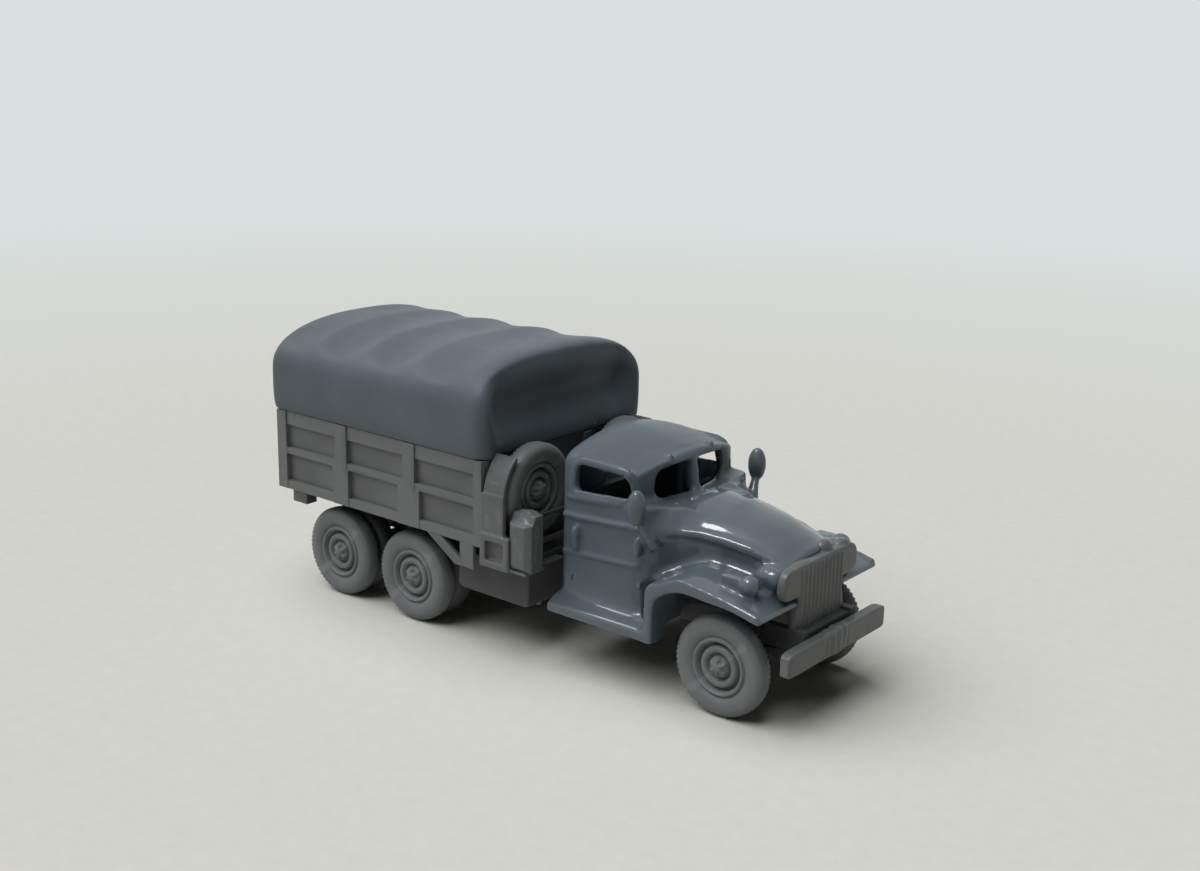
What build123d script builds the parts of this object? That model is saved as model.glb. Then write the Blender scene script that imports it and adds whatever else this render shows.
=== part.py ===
from build123d import *

import os
from math import cos, pi, sin, tan

# A six-wheeled military cargo truck as a resin scale model, about 62 mm long.
# Millimetres: +X runs forward, +Y to the truck's left and +Z up. The origin is on the ground, under
# the middle of the model. The wheels turn on the stubs of their axles, and all else is fixed.

# ---------------------------------------------------------------- driving dimensions
# Wheels and axles
WHEEL_R = 4.65
TYRE_WIDTH = 2.1
TWIN_GAP = 0.25
FRONT_AXLE_X = 23.8
BOGIE_X = -17.3
BOGIE_SPACING = 10.8
FRONT_WHEEL_Y = 7.7
REAR_OUTER_Y = 9.8
STUB_R = 0.55
STUB_PLAY = 0.05
BORE_DEPTH = 1.3
AXLE_TUBE_R = 0.65
WHEEL_CLEARANCE = 0.15

# Chassis
RAIL_Y = 4.0
RAIL_WIDTH = 0.8
RAIL_BOTTOM = 6.2
RAIL_TOP = 8.2
CROSS_WIDTH = 0.9

# Cargo bed
BED_REAR = -30.46
BED_FRONT = -1.1
BED_BOTTOM = 10.55
BED_TOP = 18.95
FLOOR_THICK = 0.8
SIDE_PLANE_Y = 11.7
SIDE_THICK = 0.7
POST_PROUD = 0.3
RAIL_PROUD = 0.22
CROSS_BEARER_DROP = 0.8

# Canopy, drawn over the bed's sides and ends
CANOPY_OVERHANG = 0.32
CANOPY_REAR_OVERHANG = 0.64
CANOPY_FRONT_OVERHANG = 0.35
CANOPY_SHOULDER_Z = 23.0
CANOPY_CROWN_Z = 28.3
CANVAS = 0.8

# Cab
CAB_BACK = 5.5
CAB_HALF_WIDTH = 8.4
CAB_BOTTOM = 6.6
CAB_FLOOR_THICK = 0.6
CAB_ROOF_REAR_Z = 21.95
CAB_ROOF_FRONT_Z = 20.5
CAB_WALL = 0.6
COWL_FRONT = 16.1
COWL_TOP = 17.05
SCREEN_SETBACK = 0.8
SCREEN_RAKE = 0.9
SCREEN_SWEEP = 1.15
DOOR_MARGIN_REAR = 0.95
DOOR_MARGIN_FRONT = 1.35

# Nose, set out from the front axle
NOSE_REACH = 5.05
GUARD_THICK = 0.95
BUMPER_REACH = 2.0
BUMPER_THICK = 1.1
BUMPER_HALF_WIDTH = 8.2
BUMPER_BOTTOM = 5.42
BUMPER_TOP = 7.57
WRAP_PROUD = 0.25

# Fenders and running boards
FENDER_OUTER_Y = 10.0
FENDER_INNER_Y = 3.7
FENDER_THICK = 0.9
BOARD_BOTTOM = 5.32
BOARD_TOP = 6.3

# Load behind the cab
SPARE_Y = 6.8
SPARE_Z = 15.7
SPARE_GAP = 3.0

SIDES = (("right", -1), ("left", 1))
GUARD_FRONT = FRONT_AXLE_X + NOSE_REACH
BUMPER_FRONT = GUARD_FRONT + BUMPER_REACH
os.makedirs("parts", exist_ok=True)


# ---------------------------------------------------------------- building blocks
SMALL_RADIUS = 0.75
BAR_SIDES = 12
# how far a cutting shape runs past what it cuts
OVERCUT = 1.0


def rounded_face(corners):
    """A flat face from corners (u, v, radius): large radii are arcs, small ones straight cuts."""
    edges = []
    joints = []
    for index, (u, v, radius) in enumerate(corners):
        here = Vector(u, v)
        before = corners[index - 1]
        after = corners[(index + 1) % len(corners)]
        to_before = (Vector(before[0], before[1]) - here).normalized()
        to_after = (Vector(after[0], after[1]) - here).normalized()
        if radius == 0:
            joints.append((here, None, here))
            continue
        half_angle = to_before.get_angle(to_after) * pi / 360
        reach = radius / tan(half_angle)
        middle = here + (to_before + to_after).normalized() * (radius / sin(half_angle) - radius)
        joints.append((here + to_before * reach, middle, here + to_after * reach))
    for index, (start, middle, end) in enumerate(joints):
        if middle is not None and corners[index][2] < SMALL_RADIUS:
            edges.append(Edge.make_line(start, end))
        elif middle is not None:
            edges.append(Edge.make_three_point_arc(start, middle, end))
        following = joints[(index + 1) % len(joints)][0]
        if (following - end).length > 1e-6:
            edges.append(Edge.make_line(end, following))
    return Face(Wire(edges))


def prism_x(corners, x_low, x_high):
    """Outline in (y, z), extruded along X."""
    face = rounded_face(corners).moved(Location(Plane((x_low, 0, 0), (0, 1, 0), (1, 0, 0))))
    return Part() + Solid.extrude(face, Vector(x_high - x_low, 0, 0))


def prism_y(corners, y_low, y_high):
    """Outline in (x, z), extruded along Y."""
    face = rounded_face(corners).moved(Location(Plane((0, y_high, 0), (1, 0, 0), (0, -1, 0))))
    return Part() + Solid.extrude(face, Vector(0, y_low - y_high, 0))


def prism_z(corners, z_low, z_high):
    """Outline in (x, y), extruded along Z."""
    face = rounded_face(corners).moved(Location((0, 0, z_low)))
    return Part() + Solid.extrude(face, Vector(0, 0, z_high - z_low))


def block(x_low, x_high, y_low, y_high, z_low, z_high):
    """A plain box by its limits."""
    size = (x_high - x_low, y_high - y_low, z_high - z_low)
    centre = ((x_low + x_high) / 2, (y_low + y_high) / 2, (z_low + z_high) / 2)
    return Pos(*centre) * Box(*size)


def through(rings):
    """A solid in flat faces through closed rings of corners, alike in number, from end to end."""
    faces = [Face(Wire.make_polygon(rings[0], close=True)), Face(Wire.make_polygon(rings[-1], close=True))]
    for near, far in zip(rings, rings[1:]):
        for index, start in enumerate(near):
            following = (index + 1) % len(near)
            quad = [start, near[following], far[following], far[index]]
            across = (quad[1] - quad[0]).cross(quad[2] - quad[0])
            if abs(across.normalized().dot(quad[3] - quad[0])) < 1e-6:
                faces.append(Face(Wire.make_polygon(quad, close=True)))
            else:
                faces.append(Face(Wire.make_polygon(quad[:3], close=True)))
                faces.append(Face(Wire.make_polygon([quad[0], quad[2], quad[3]], close=True)))
    solid = Solid(Shell(faces))
    return Part() + (solid if solid.volume > 0 else Solid(Shell([-face for face in faces])))


def turned(plane, rows, sides=BAR_SIDES):
    """A turned form in flats: rings (radius to the flats, distance along the plane's normal)."""
    rings = []
    for radius, along in rows:
        centre = plane.origin + plane.z_dir * along
        corner_r = radius / cos(pi / sides)
        corners = []
        for index in range(sides):
            angle = 2 * pi * (index + 0.5) / sides
            out = plane.x_dir * (corner_r * cos(angle)) + plane.y_dir * (corner_r * sin(angle))
            corners.append(centre + out)
        rings.append(corners)
    return through(rings)


def rod(start, end, radius, end_radius=None):
    """A bar between two points, tapered if it has an end radius."""
    start = Vector(*start)
    end = Vector(*end)
    plane = Plane(origin=start, z_dir=end - start)
    return turned(plane, [(radius, 0), (end_radius or radius, (end - start).length)])


def mirrored(shape):
    """The same shape on the other side of the truck."""
    return shape.mirror(Plane.XZ)


def on_side(shape, sign):
    """A shape modelled on the right (-Y), placed on the side asked for."""
    return shape if sign < 0 else mirrored(shape)


def save(name, shape):
    """Writes one node as its own STEP file."""
    shape.label = name
    export_step(shape, f"parts/{name}.step")


# ---------------------------------------------------------------- wheels
WHEEL_SIDES = 24
RIM_R = 2.7
RIM_PROUD = 0.12
GROOVE_OUT_R = 2.35
GROOVE_DEPTH = 0.38
DISC_R = 1.85
GROOVE_TAPER = 0.12
HUB_R = 0.95
HUB_PROUD = 0.22
SIDEWALL_R = 3.75
VALLEY_R = 3.1
BEAD_SET = 0.29
TREAD_HALF = 0.86


def wheel_solid(plane, tyre_count):
    """A wheel that faces along the plane's normal, its outermost tyre centred on the origin."""
    half = TYRE_WIDTH / 2
    face = half - BEAD_SET
    pitch = TYRE_WIDTH + TWIN_GAP
    inner_face = -face - (tyre_count - 1) * pitch
    rows = []
    for index in range(tyre_count):
        middle = -index * pitch
        if index:
            rows.append((VALLEY_R, middle + pitch / 2))
        rows.append((SIDEWALL_R, middle + half))
        rows.append((WHEEL_R, middle + TREAD_HALF))
        rows.append((WHEEL_R, middle - TREAD_HALF))
        rows.append((SIDEWALL_R, middle - half))
    rows = [(RIM_R, inner_face), *reversed(rows), (RIM_R, face)]
    rim_top = face + RIM_PROUD
    floor = face - GROOVE_DEPTH
    wheel = turned(plane, rows, WHEEL_SIDES)
    wheel += turned(plane, [(RIM_R, inner_face), (RIM_R, rim_top)], WHEEL_SIDES)
    wheel -= turned(plane, [(GROOVE_OUT_R - GROOVE_TAPER, floor), (GROOVE_OUT_R, rim_top)], WHEEL_SIDES)
    wheel += turned(plane, [(DISC_R + GROOVE_TAPER, floor), (DISC_R, face)], WHEEL_SIDES)
    wheel += turned(plane, [(HUB_R, floor), (HUB_R, face + HUB_PROUD)])
    return wheel - turned(plane, [(STUB_R + STUB_PLAY, inner_face), (STUB_R + STUB_PLAY, inner_face + BORE_DEPTH)])


def wheel_nodes():
    """The six road wheels: single at the front, twin at the rear."""
    # name, x and y of the outermost tyre's middle, tyres
    table = [
        ("wheel_front", FRONT_AXLE_X, FRONT_WHEEL_Y, 1),
        ("wheel_middle", BOGIE_X + BOGIE_SPACING / 2, REAR_OUTER_Y, 2),
        ("wheel_rear", BOGIE_X - BOGIE_SPACING / 2, REAR_OUTER_Y, 2),
    ]
    for name, x, y, tyres in table:
        plane = Plane(origin=(x, y, WHEEL_R), x_dir=(0, 0, 1), z_dir=(0, 1, 0))
        wheel = wheel_solid(plane, tyres)
        save(f"{name}_left", wheel)
        save(f"{name}_right", mirrored(wheel))


def wheel_inner_y(outer_y, tyre_count):
    """The wheel's inner face, where its bore opens."""
    return outer_y - (tyre_count - 1) * (TYRE_WIDTH + TWIN_GAP) - TYRE_WIDTH / 2 + BEAD_SET


# ---------------------------------------------------------------- chassis
SPRING_WIDTH = 0.7
SPRING_THICK = 0.55
SPRING_HALF_LENGTH = 4.4
SPRING_OVERREACH = 0.3
FRONT_SPRING_RISE = 0.35
BOGIE_SPRING_RISE = 0.4
DIFF_R = 1.35
DIFF_HALF = 1.0
DIFF_FRONT_Y = -1.6
DIFF_REAR_Y = -1.2
NOSE_LENGTH = 2.2
NOSE_RISE = 0.5
PINION_R = 0.55
SHAFT_R = 0.35
TRUNNION_REACH = 5.6
TRUNNION_HALF = 0.6
RAIL_END_SET = 1.2
# distance of each crossmember from the rails' rear end
CROSSMEMBERS = (0.5, 11.96, 22.96, 27.76, 37.76, 46.26, 58.41)
CROSSMEMBER_SET = 0.3
GEARBOX_REAR = 6.2
GEARBOX_FRONT = 10.2
GEARBOX_BOTTOM = 4.5
GEARBOX_RIGHT = 2.2
GEARBOX_LEFT = 1.6
SHAFT_RISE = 1.1


def axle(x, outer_y, tyre_count, diff_y, nose_way):
    """A live axle: tube, banjo differential and the stubs that carry the wheels."""
    inner_y = wheel_inner_y(outer_y, tyre_count)
    stub_half = inner_y + BORE_DEPTH - STUB_PLAY * 2
    tube_half = inner_y - BEAD_SET - WHEEL_CLEARANCE
    tube = rod((x, -tube_half, WHEEL_R), (x, tube_half, WHEEL_R), AXLE_TUBE_R)
    stub = rod((x, -stub_half, WHEEL_R), (x, stub_half, WHEEL_R), STUB_R)
    banjo_plane = Plane(origin=(x, diff_y, WHEEL_R), x_dir=(0, 0, 1), z_dir=(0, 1, 0))
    banjo_rows = [(AXLE_TUBE_R, -DIFF_HALF), (DIFF_R, -DIFF_HALF / 3), (DIFF_R, DIFF_HALF / 3), (AXLE_TUBE_R, DIFF_HALF)]
    nose = rod((x, diff_y, WHEEL_R), (x + nose_way * NOSE_LENGTH, diff_y, WHEEL_R + NOSE_RISE), PINION_R)
    return tube + stub + turned(banjo_plane, banjo_rows) + nose


def frame():
    """Ladder frame: two rails with crossmembers between them, and the bogie's trunnion."""
    rear = BED_REAR + RAIL_END_SET
    front = BUMPER_FRONT - BUMPER_THICK
    solid = Part()
    for sign in (-1, 1):
        y = sign * RAIL_Y
        solid += block(rear, front, y - RAIL_WIDTH / 2, y + RAIL_WIDTH / 2, RAIL_BOTTOM, RAIL_TOP)
    low = RAIL_BOTTOM + CROSSMEMBER_SET
    high = RAIL_TOP - CROSSMEMBER_SET
    for distance in CROSSMEMBERS:
        x = rear + distance
        solid += block(x - CROSS_WIDTH / 2, x + CROSS_WIDTH / 2, -RAIL_Y, RAIL_Y, low, high)
    # the trunnion sits on both rear springs
    saddle = WHEEL_R + AXLE_TUBE_R + BOGIE_SPRING_RISE + SPRING_THICK
    solid += block(BOGIE_X - TRUNNION_HALF, BOGIE_X + TRUNNION_HALF, -TRUNNION_REACH, TRUNNION_REACH, saddle, high)
    return solid


def leaf_spring(x, y, z_mid, half_length, rise):
    """A curved leaf pack, its middle at z_mid and its ends higher by rise."""
    low = [(x - half_length, z_mid + rise), (x, z_mid), (x + half_length, z_mid + rise)]
    arc_low = Edge.make_three_point_arc(*[Vector(u, 0, v) for u, v in low])
    arc_high = Edge.make_three_point_arc(*[Vector(u, 0, v + SPRING_THICK) for u, v in low])
    ends = [
        Edge.make_line(arc_low @ 1, arc_high @ 1),
        Edge.make_line(arc_high @ 0, arc_low @ 0),
    ]
    face = Face(Wire([arc_low, arc_high, *ends]))
    solid = Solid.extrude(face, Vector(0, SPRING_WIDTH, 0))
    return Pos(0, y - SPRING_WIDTH / 2, 0) * (Part() + solid)


def driveline(middle_x, rear_x):
    """The gearbox under the frame and the shafts that run to the three axles."""
    top = RAIL_BOTTOM + CROSSMEMBER_SET
    case = block(GEARBOX_REAR, GEARBOX_FRONT, -GEARBOX_RIGHT, GEARBOX_LEFT, GEARBOX_BOTTOM, top)
    nose_z = WHEEL_R + NOSE_RISE
    box_z = GEARBOX_BOTTOM + SHAFT_RISE
    front_nose = (FRONT_AXLE_X - NOSE_LENGTH, DIFF_FRONT_Y, nose_z)
    middle_nose = (middle_x + NOSE_LENGTH, DIFF_REAR_Y, nose_z)
    case += rod((GEARBOX_FRONT, DIFF_FRONT_Y, box_z), front_nose, SHAFT_R)
    case += rod((GEARBOX_REAR, DIFF_REAR_Y, box_z), middle_nose, SHAFT_R)
    link = rod((middle_x - DIFF_R, DIFF_REAR_Y, WHEEL_R), (rear_x + NOSE_LENGTH, DIFF_REAR_Y, nose_z), SHAFT_R)
    return case + link


def chassis_nodes():
    save("frame_rails", frame())
    middle_x = BOGIE_X + BOGIE_SPACING / 2
    rear_x = BOGIE_X - BOGIE_SPACING / 2
    front_axle = axle(FRONT_AXLE_X, FRONT_WHEEL_Y, 1, DIFF_FRONT_Y, -1)
    middle_axle = axle(middle_x, REAR_OUTER_Y, 2, DIFF_REAR_Y, 1)
    rear_axle = axle(rear_x, REAR_OUTER_Y, 2, DIFF_REAR_Y, 1)
    save("axle_front", front_axle)
    save("axle_middle", middle_axle)
    save("axle_rear", rear_axle)
    seat_z = WHEEL_R + AXLE_TUBE_R
    bogie_y = TRUNNION_REACH - SPRING_WIDTH / 2
    bogie_half = BOGIE_SPACING / 2 + SPRING_OVERREACH
    front = Part()
    bogie = Part()
    for sign in (-1, 1):
        front += leaf_spring(FRONT_AXLE_X, sign * RAIL_Y, seat_z, SPRING_HALF_LENGTH, FRONT_SPRING_RISE)
        bogie += leaf_spring(BOGIE_X, sign * bogie_y, seat_z + BOGIE_SPRING_RISE, bogie_half, -BOGIE_SPRING_RISE)
    save("springs_front", front - front_axle)
    save("springs_bogie", bogie - middle_axle - rear_axle)
    save("driveline", driveline(middle_x, rear_x) - middle_axle - rear_axle - front_axle)


# ---------------------------------------------------------------- cargo bed
# distance from the bed's rear of each side post's edges, above and below the middle rail
POSTS = (
    (0.0, 1.41, 0.0, 1.41),
    (8.96, 10.68, 8.57, 10.88),
    (18.8, 20.42, 18.1, 21.06),
    (28.32, 29.36, 28.32, 29.36),
)
LOW_RAIL_HIGH = 0.9
MID_RAIL_LOW = 3.83
MID_RAIL_HIGH = 4.5
TOP_PLANK = 1.45
PLANK_PROUD = 0.1
END_RIB_HALF = 0.6
END_RIB_Y = 3.6
END_SILL_HIGH = 0.6
SILL_HALF = 0.45
SILL_SET = 0.4
BEARER_HALF = 0.5
BEARER_TAPER = 3.0


def bed_side():
    """One side wall: plank panel with posts and rails standing proud of it."""
    outer = -SIDE_PLANE_Y
    wall = block(BED_REAR, BED_FRONT, outer, outer + SIDE_THICK, BED_BOTTOM, BED_TOP)
    for low, high in ((0, LOW_RAIL_HIGH), (MID_RAIL_LOW, MID_RAIL_HIGH)):
        wall += block(BED_REAR, BED_FRONT, outer - RAIL_PROUD, outer, BED_BOTTOM + low, BED_BOTTOM + high)
    wall += block(BED_REAR, BED_FRONT, outer - PLANK_PROUD, outer, BED_TOP - TOP_PLANK, BED_TOP)
    face = outer - POST_PROUD
    for rear, front, rear_low, front_low in POSTS:
        wall += block(BED_REAR + rear, BED_REAR + front, face, outer, BED_BOTTOM, BED_TOP)
        wall += block(BED_REAR + rear_low, BED_REAR + front_low, face, outer, BED_BOTTOM, BED_BOTTOM + MID_RAIL_LOW)
    return wall


def bed_end(x_low, x_high, ribs_at):
    """A cross wall of the bed, between its sides, with ribs on its outer face."""
    inner = SIDE_PLANE_Y - SIDE_THICK
    floor_top = BED_BOTTOM + FLOOR_THICK
    wall = block(x_low, x_high, -inner, inner, floor_top, BED_TOP)
    out = x_low - RAIL_PROUD if ribs_at < 0 else x_high
    into = x_low if ribs_at < 0 else x_high + RAIL_PROUD
    rails = ((floor_top, floor_top + END_SILL_HIGH), (BED_BOTTOM + MID_RAIL_LOW, BED_BOTTOM + MID_RAIL_HIGH))
    for low, high in rails:
        wall += block(out, into, -inner, inner, low, high)
    edge = inner - END_RIB_HALF
    for y in (-edge, -END_RIB_Y, END_RIB_Y, edge):
        wall += block(out, into, y - END_RIB_HALF, y + END_RIB_HALF, floor_top, BED_TOP)
    return wall


def cross_bearers():
    """Outriggers under the bed on two long sills that rest on the frame."""
    under = Part()
    for sign in (-1, 1):
        y = sign * RAIL_Y
        under += block(BED_REAR + SILL_SET, BED_FRONT - SILL_SET, y - SILL_HALF, y + SILL_HALF, RAIL_TOP, BED_BOTTOM)
    low = BED_BOTTOM - CROSS_BEARER_DROP
    tip = SIDE_PLANE_Y - PLANK_PROUD
    knee = tip - BEARER_TAPER
    for rear, front, _, _ in POSTS:
        middle = BED_REAR + (rear + front) / 2
        shape = [(-tip, BED_BOTTOM, 0), (-knee, low, 0), (knee, low, 0), (tip, BED_BOTTOM, 0)]
        under += prism_x(shape, middle - BEARER_HALF, middle + BEARER_HALF)
    return under


def bed_nodes():
    inner = SIDE_PLANE_Y - SIDE_THICK
    wall = SIDE_THICK - RAIL_PROUD
    save("bed_floor", block(BED_REAR, BED_FRONT, -inner, inner, BED_BOTTOM, BED_BOTTOM + FLOOR_THICK))
    save("bed_cross_bearers", cross_bearers())
    for side, sign in SIDES:
        save(f"bed_side_{side}", on_side(bed_side(), sign))
    save("bed_headboard", bed_end(BED_FRONT - RAIL_PROUD - wall, BED_FRONT - RAIL_PROUD, 1))
    save("tailgate", bed_end(BED_REAR + RAIL_PROUD, BED_REAR + RAIL_PROUD + wall, -1))


# ---------------------------------------------------------------- canopy
# distance of each bow's ridge from the canopy's rear
CANOPY_BOWS = (6.1, 13.1, 20.1, 27.4)
CANOPY_SAG = 0.34
CANOPY_FLATS = 14
# the exponent of the rounded section: 2 is an ellipse, more is squarer
CANOPY_POWER = 2.7
CANOPY_HEM_SET = 0.3
CANOPY_HEM_HIGH = 1.6
# radius of the upright corners and of the top edge, at the rear and at the front
REAR_CORNER_R = 0.9
REAR_EDGE_R = 1.1
FRONT_CORNER_R = 1.3
FRONT_EDGE_R = 2.1
EDGE_STEPS = (0.0, 0.12, 0.4, 1.0)
DISH_DEPTH = 1.1
DISH_SHARE = 0.72
DISH_MIDDLE_Z = 23.2


def drawn_in(distance, radius):
    """How far a rounded edge of this radius has drawn in, at a distance from its end."""
    if distance >= radius:
        return 0
    return radius - (radius * radius - (radius - distance) ** 2) ** 0.5


def canopy_ring(x, half, crown, hem_set):
    """The corners of the canopy's section at one place."""
    base = CANOPY_SHOULDER_Z
    points = [Vector(x, half - hem_set, BED_TOP), Vector(x, hem_set - half, BED_TOP)]
    points.append(Vector(x, -half, BED_TOP + CANOPY_HEM_HIGH))
    for index in range(CANOPY_FLATS + 1):
        angle = pi * index / CANOPY_FLATS
        across = abs(cos(angle)) ** (2 / CANOPY_POWER) * (-1 if angle < pi / 2 else 1)
        points.append(Vector(x, half * across, base + (crown - base) * sin(angle) ** (2 / CANOPY_POWER)))
    points.append(Vector(x, half, BED_TOP + CANOPY_HEM_HIGH))
    return points


def canopy_rings(rear, front, half, crown):
    """Sections from the rear: rounded ends, ridges over the bows and the cloth's sag between."""
    bows = [rear + distance for distance in CANOPY_BOWS]
    rows = [(rear + REAR_EDGE_R * step, 0) for step in EDGE_STEPS]
    rows.append(((rows[-1][0] + bows[0]) / 2, CANOPY_SAG / 3))
    for index, bow in enumerate(bows):
        if index:
            rows.append(((bows[index - 1] + bow) / 2, CANOPY_SAG))
        rows.append((bow, 0))
    rows += [(front - FRONT_EDGE_R * step, 0) for step in reversed(EDGE_STEPS)]
    rings = []
    for x, sag in rows:
        side = drawn_in(x - rear, REAR_CORNER_R) + drawn_in(front - x, FRONT_CORNER_R)
        top = drawn_in(x - rear, REAR_EDGE_R) + drawn_in(front - x, FRONT_EDGE_R)
        rings.append(canopy_ring(x, half - side, crown - top - sag, CANOPY_HEM_SET))
    return rings


def canopy_shell():
    """The cloth, open below, its front drawn in like a dish between the bow and the hem."""
    half = SIDE_PLANE_Y + POST_PROUD + CANOPY_OVERHANG
    rear = BED_REAR - CANOPY_REAR_OVERHANG
    front = BED_FRONT + CANOPY_FRONT_OVERHANG
    rings = canopy_rings(rear, front, half, CANOPY_CROWN_Z)
    dish = []
    for point in rings[-1]:
        rise = (point.Z - DISH_MIDDLE_Z) * DISH_SHARE
        dish.append(Vector(front - DISH_DEPTH, point.Y * DISH_SHARE, DISH_MIDDLE_Z + rise))
    outer = through([*rings, dish])
    inner_half = half - CANVAS
    inner_crown = CANOPY_CROWN_Z - CANVAS - CANOPY_SAG
    low_crown = inner_crown - FRONT_EDGE_R / 2
    rows = [
        (rear + CANVAS, inner_half - REAR_CORNER_R, inner_crown - REAR_EDGE_R / 2),
        (rear + CANVAS + REAR_EDGE_R, inner_half, inner_crown),
        (front - DISH_DEPTH - CANVAS - FRONT_EDGE_R, inner_half, inner_crown),
        (front - DISH_DEPTH - CANVAS, inner_half - FRONT_CORNER_R, low_crown),
    ]
    inner = through([canopy_ring(*row, CANOPY_HEM_SET) for row in rows])
    mouth = prism_z([(x, y, 0) for x, y in (
        (rows[0][0], -rows[0][1] + CANOPY_HEM_SET),
        (rows[3][0], -rows[3][1] + CANOPY_HEM_SET),
        (rows[3][0], rows[3][1] - CANOPY_HEM_SET),
        (rows[0][0], rows[0][1] - CANOPY_HEM_SET),
    )], BED_TOP - OVERCUT, BED_TOP + OVERCUT)
    return outer - inner - mouth


def canopy_node():
    save("canopy", canopy_shell())


# ---------------------------------------------------------------- cab
DOOR_REAR = CAB_BACK + DOOR_MARGIN_REAR
DOOR_FRONT = COWL_FRONT - DOOR_MARGIN_FRONT
SCREEN_LOW_X = COWL_FRONT - SCREEN_SETBACK
SCREEN_TOP_X = SCREEN_LOW_X - SCREEN_RAKE
SCREEN_PILLAR = 3.4
SCREEN_LOW = 0.1
SCREEN_HIGH = 2.5
SCREEN_DEPTH = 3.8
PILLAR_HALF = 0.35
WINDOW_MARGIN_REAR = 0.85
WINDOW_MARGIN_FRONT = 1.75
WINDOW_LOW = 17.05
WINDOW_HIGH = 20.1
WINDOW_CORNER = 0.8
WINDOW_SILL_RISE = 0.4
WINDOW_HEAD_FALL = 0.2
REAR_WINDOW_HALF = 3.0
REAR_WINDOW_LOW = 17.4
REAR_WINDOW_HIGH = 19.4
ROOF_SPLIT_RISE = 0.3
SILL_DROP = 0.5
WAIST_Z = 16.6
TUMBLEHOME = 0.35
# distance in from the cab's side, and below the roof's crown, of the roof's corners
ROOF_ARCH = ((0.0, 2.6), (0.1, 2.1), (0.45, 1.65), (1.1, 1.3), (2.4, 0.9), (4.4, 0.48), (6.6, 0.12))
# distance from the cab's back, fall below the rear roof height, and share of the arch's depth
ROOF_ROWS = ((0.0, 0.2, 1.0), (0.6, 0.05, 1.0), (2.5, 0.0, 1.0), (5.5, 0.5, 0.95), (8.2, 1.1, 0.85), (11.6, 1.7, 0.75))
BACK_CORNER_R = 0.6
# distance back from the brow, and in from the side, of each corner of the screen pillar's bend
BROW_BEND = ((2.4, 0.0), (1.2, 0.35), (0.5, 1.1), (0.2, 2.2))
# the same for the cowl's bend
COWL_BEND = ((2.0, 0.0), (1.15, 0.25), (0.65, 1.0), (0.2, 2.6), (0.0, 3.5))
COWL_STEP = 0.3
COWL_EDGE_R = 0.4
BROW_EDGE_R = 0.7
BROW_BACK = 4.0
SIDE_DEPTH = 2.4
# z of the lower and upper edge of each moulding at its rear end; both rise to the front
MOULDINGS = ((11.0, 11.35), (14.5, 14.9))
MOULDING_RISE = 0.45
MOULDING_PROUD = 0.14
HANDLE_X = 1.2
HANDLE_HALF = 0.25
HANDLE_LOW = 11.9
HANDLE_HIGH = 13.8
HANDLE_PROUD = 0.4
SEAT_HALF = 5.9
SEAT_TOP = 12.6
SEAT_BACK_TOP = 16.6
SEAT_DEPTH = 2.4
SEAT_BACK_THICK = 0.8
WHEEL_SET = 2.9
DRIVER_Y = 3.9
DRIVER_WHEEL_Z = 15.6
DRIVER_WHEEL_R = 1.6
DRIVER_RIM = 0.33


def roof_section(x, crown, share, half, low):
    """The corners of the cab's section at one place along it."""
    top_half = half - TUMBLEHOME
    right = [Vector(x, -half, low), Vector(x, -half, WAIST_Z)]
    for across, fall in ROOF_ARCH:
        right.append(Vector(x, across - top_half, crown - fall * share))
    return right + [Vector(x, -point.Y, point.Z) for point in reversed(right)]


def cab_hull(inset):
    """The cab's outer form, or its inner one when pulled in by inset."""
    half = CAB_HALF_WIDTH - inset
    back = CAB_BACK + inset
    low = CAB_BOTTOM if inset == 0 else RAIL_TOP + CAB_FLOOR_THICK
    cowl = COWL_FRONT - inset
    screen = SCREEN_LOW_X - inset
    wide = half + OVERCUT
    rings = []
    for distance, fall, share in ROOF_ROWS:
        x = max(CAB_BACK + distance, back) if distance < 1 else CAB_BACK + distance
        if not rings or x > rings[-1][0].X:
            rings.append(roof_section(x, CAB_ROOF_REAR_Z - inset - fall, share, half, low))
    body = through(rings)
    roof = CAB_ROOF_REAR_Z + OVERCUT
    side = [
        (back, low, 0),
        (cowl, low, 0),
        (cowl, COWL_TOP - COWL_STEP - inset, COWL_EDGE_R),
        (screen, COWL_TOP - inset, COWL_EDGE_R),
        (SCREEN_TOP_X - inset, CAB_ROOF_FRONT_Z - inset, BROW_EDGE_R),
        (SCREEN_TOP_X - inset - BROW_BACK, roof, 0),
        (back, roof, 0),
    ]
    body &= prism_y(side, -wide, wide)
    brow = screen - SCREEN_SWEEP
    brow_y = half - SCREEN_PILLAR + inset
    back_corner = (back, -half, max(BACK_CORNER_R - inset, 0))
    high_plan = [back_corner, *[(brow - set_back, set_in - half, 0) for set_back, set_in in BROW_BEND]]
    high_plan += [(brow, -brow_y, 0), (screen, 0, 0)]
    high_plan += [(x, -y, radius) for x, y, radius in reversed(high_plan[:-1])]
    low_plan = [back_corner, *[(cowl - set_back, set_in - half, 0) for set_back, set_in in COWL_BEND]]
    low_plan += [(x, -y, radius) for x, y, radius in reversed(low_plan)]
    waist = COWL_TOP - inset
    plans = prism_z(high_plan, waist - SILL_DROP, roof)
    plans += prism_z(low_plan, low - OVERCUT, waist)
    return body & plans


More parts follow.
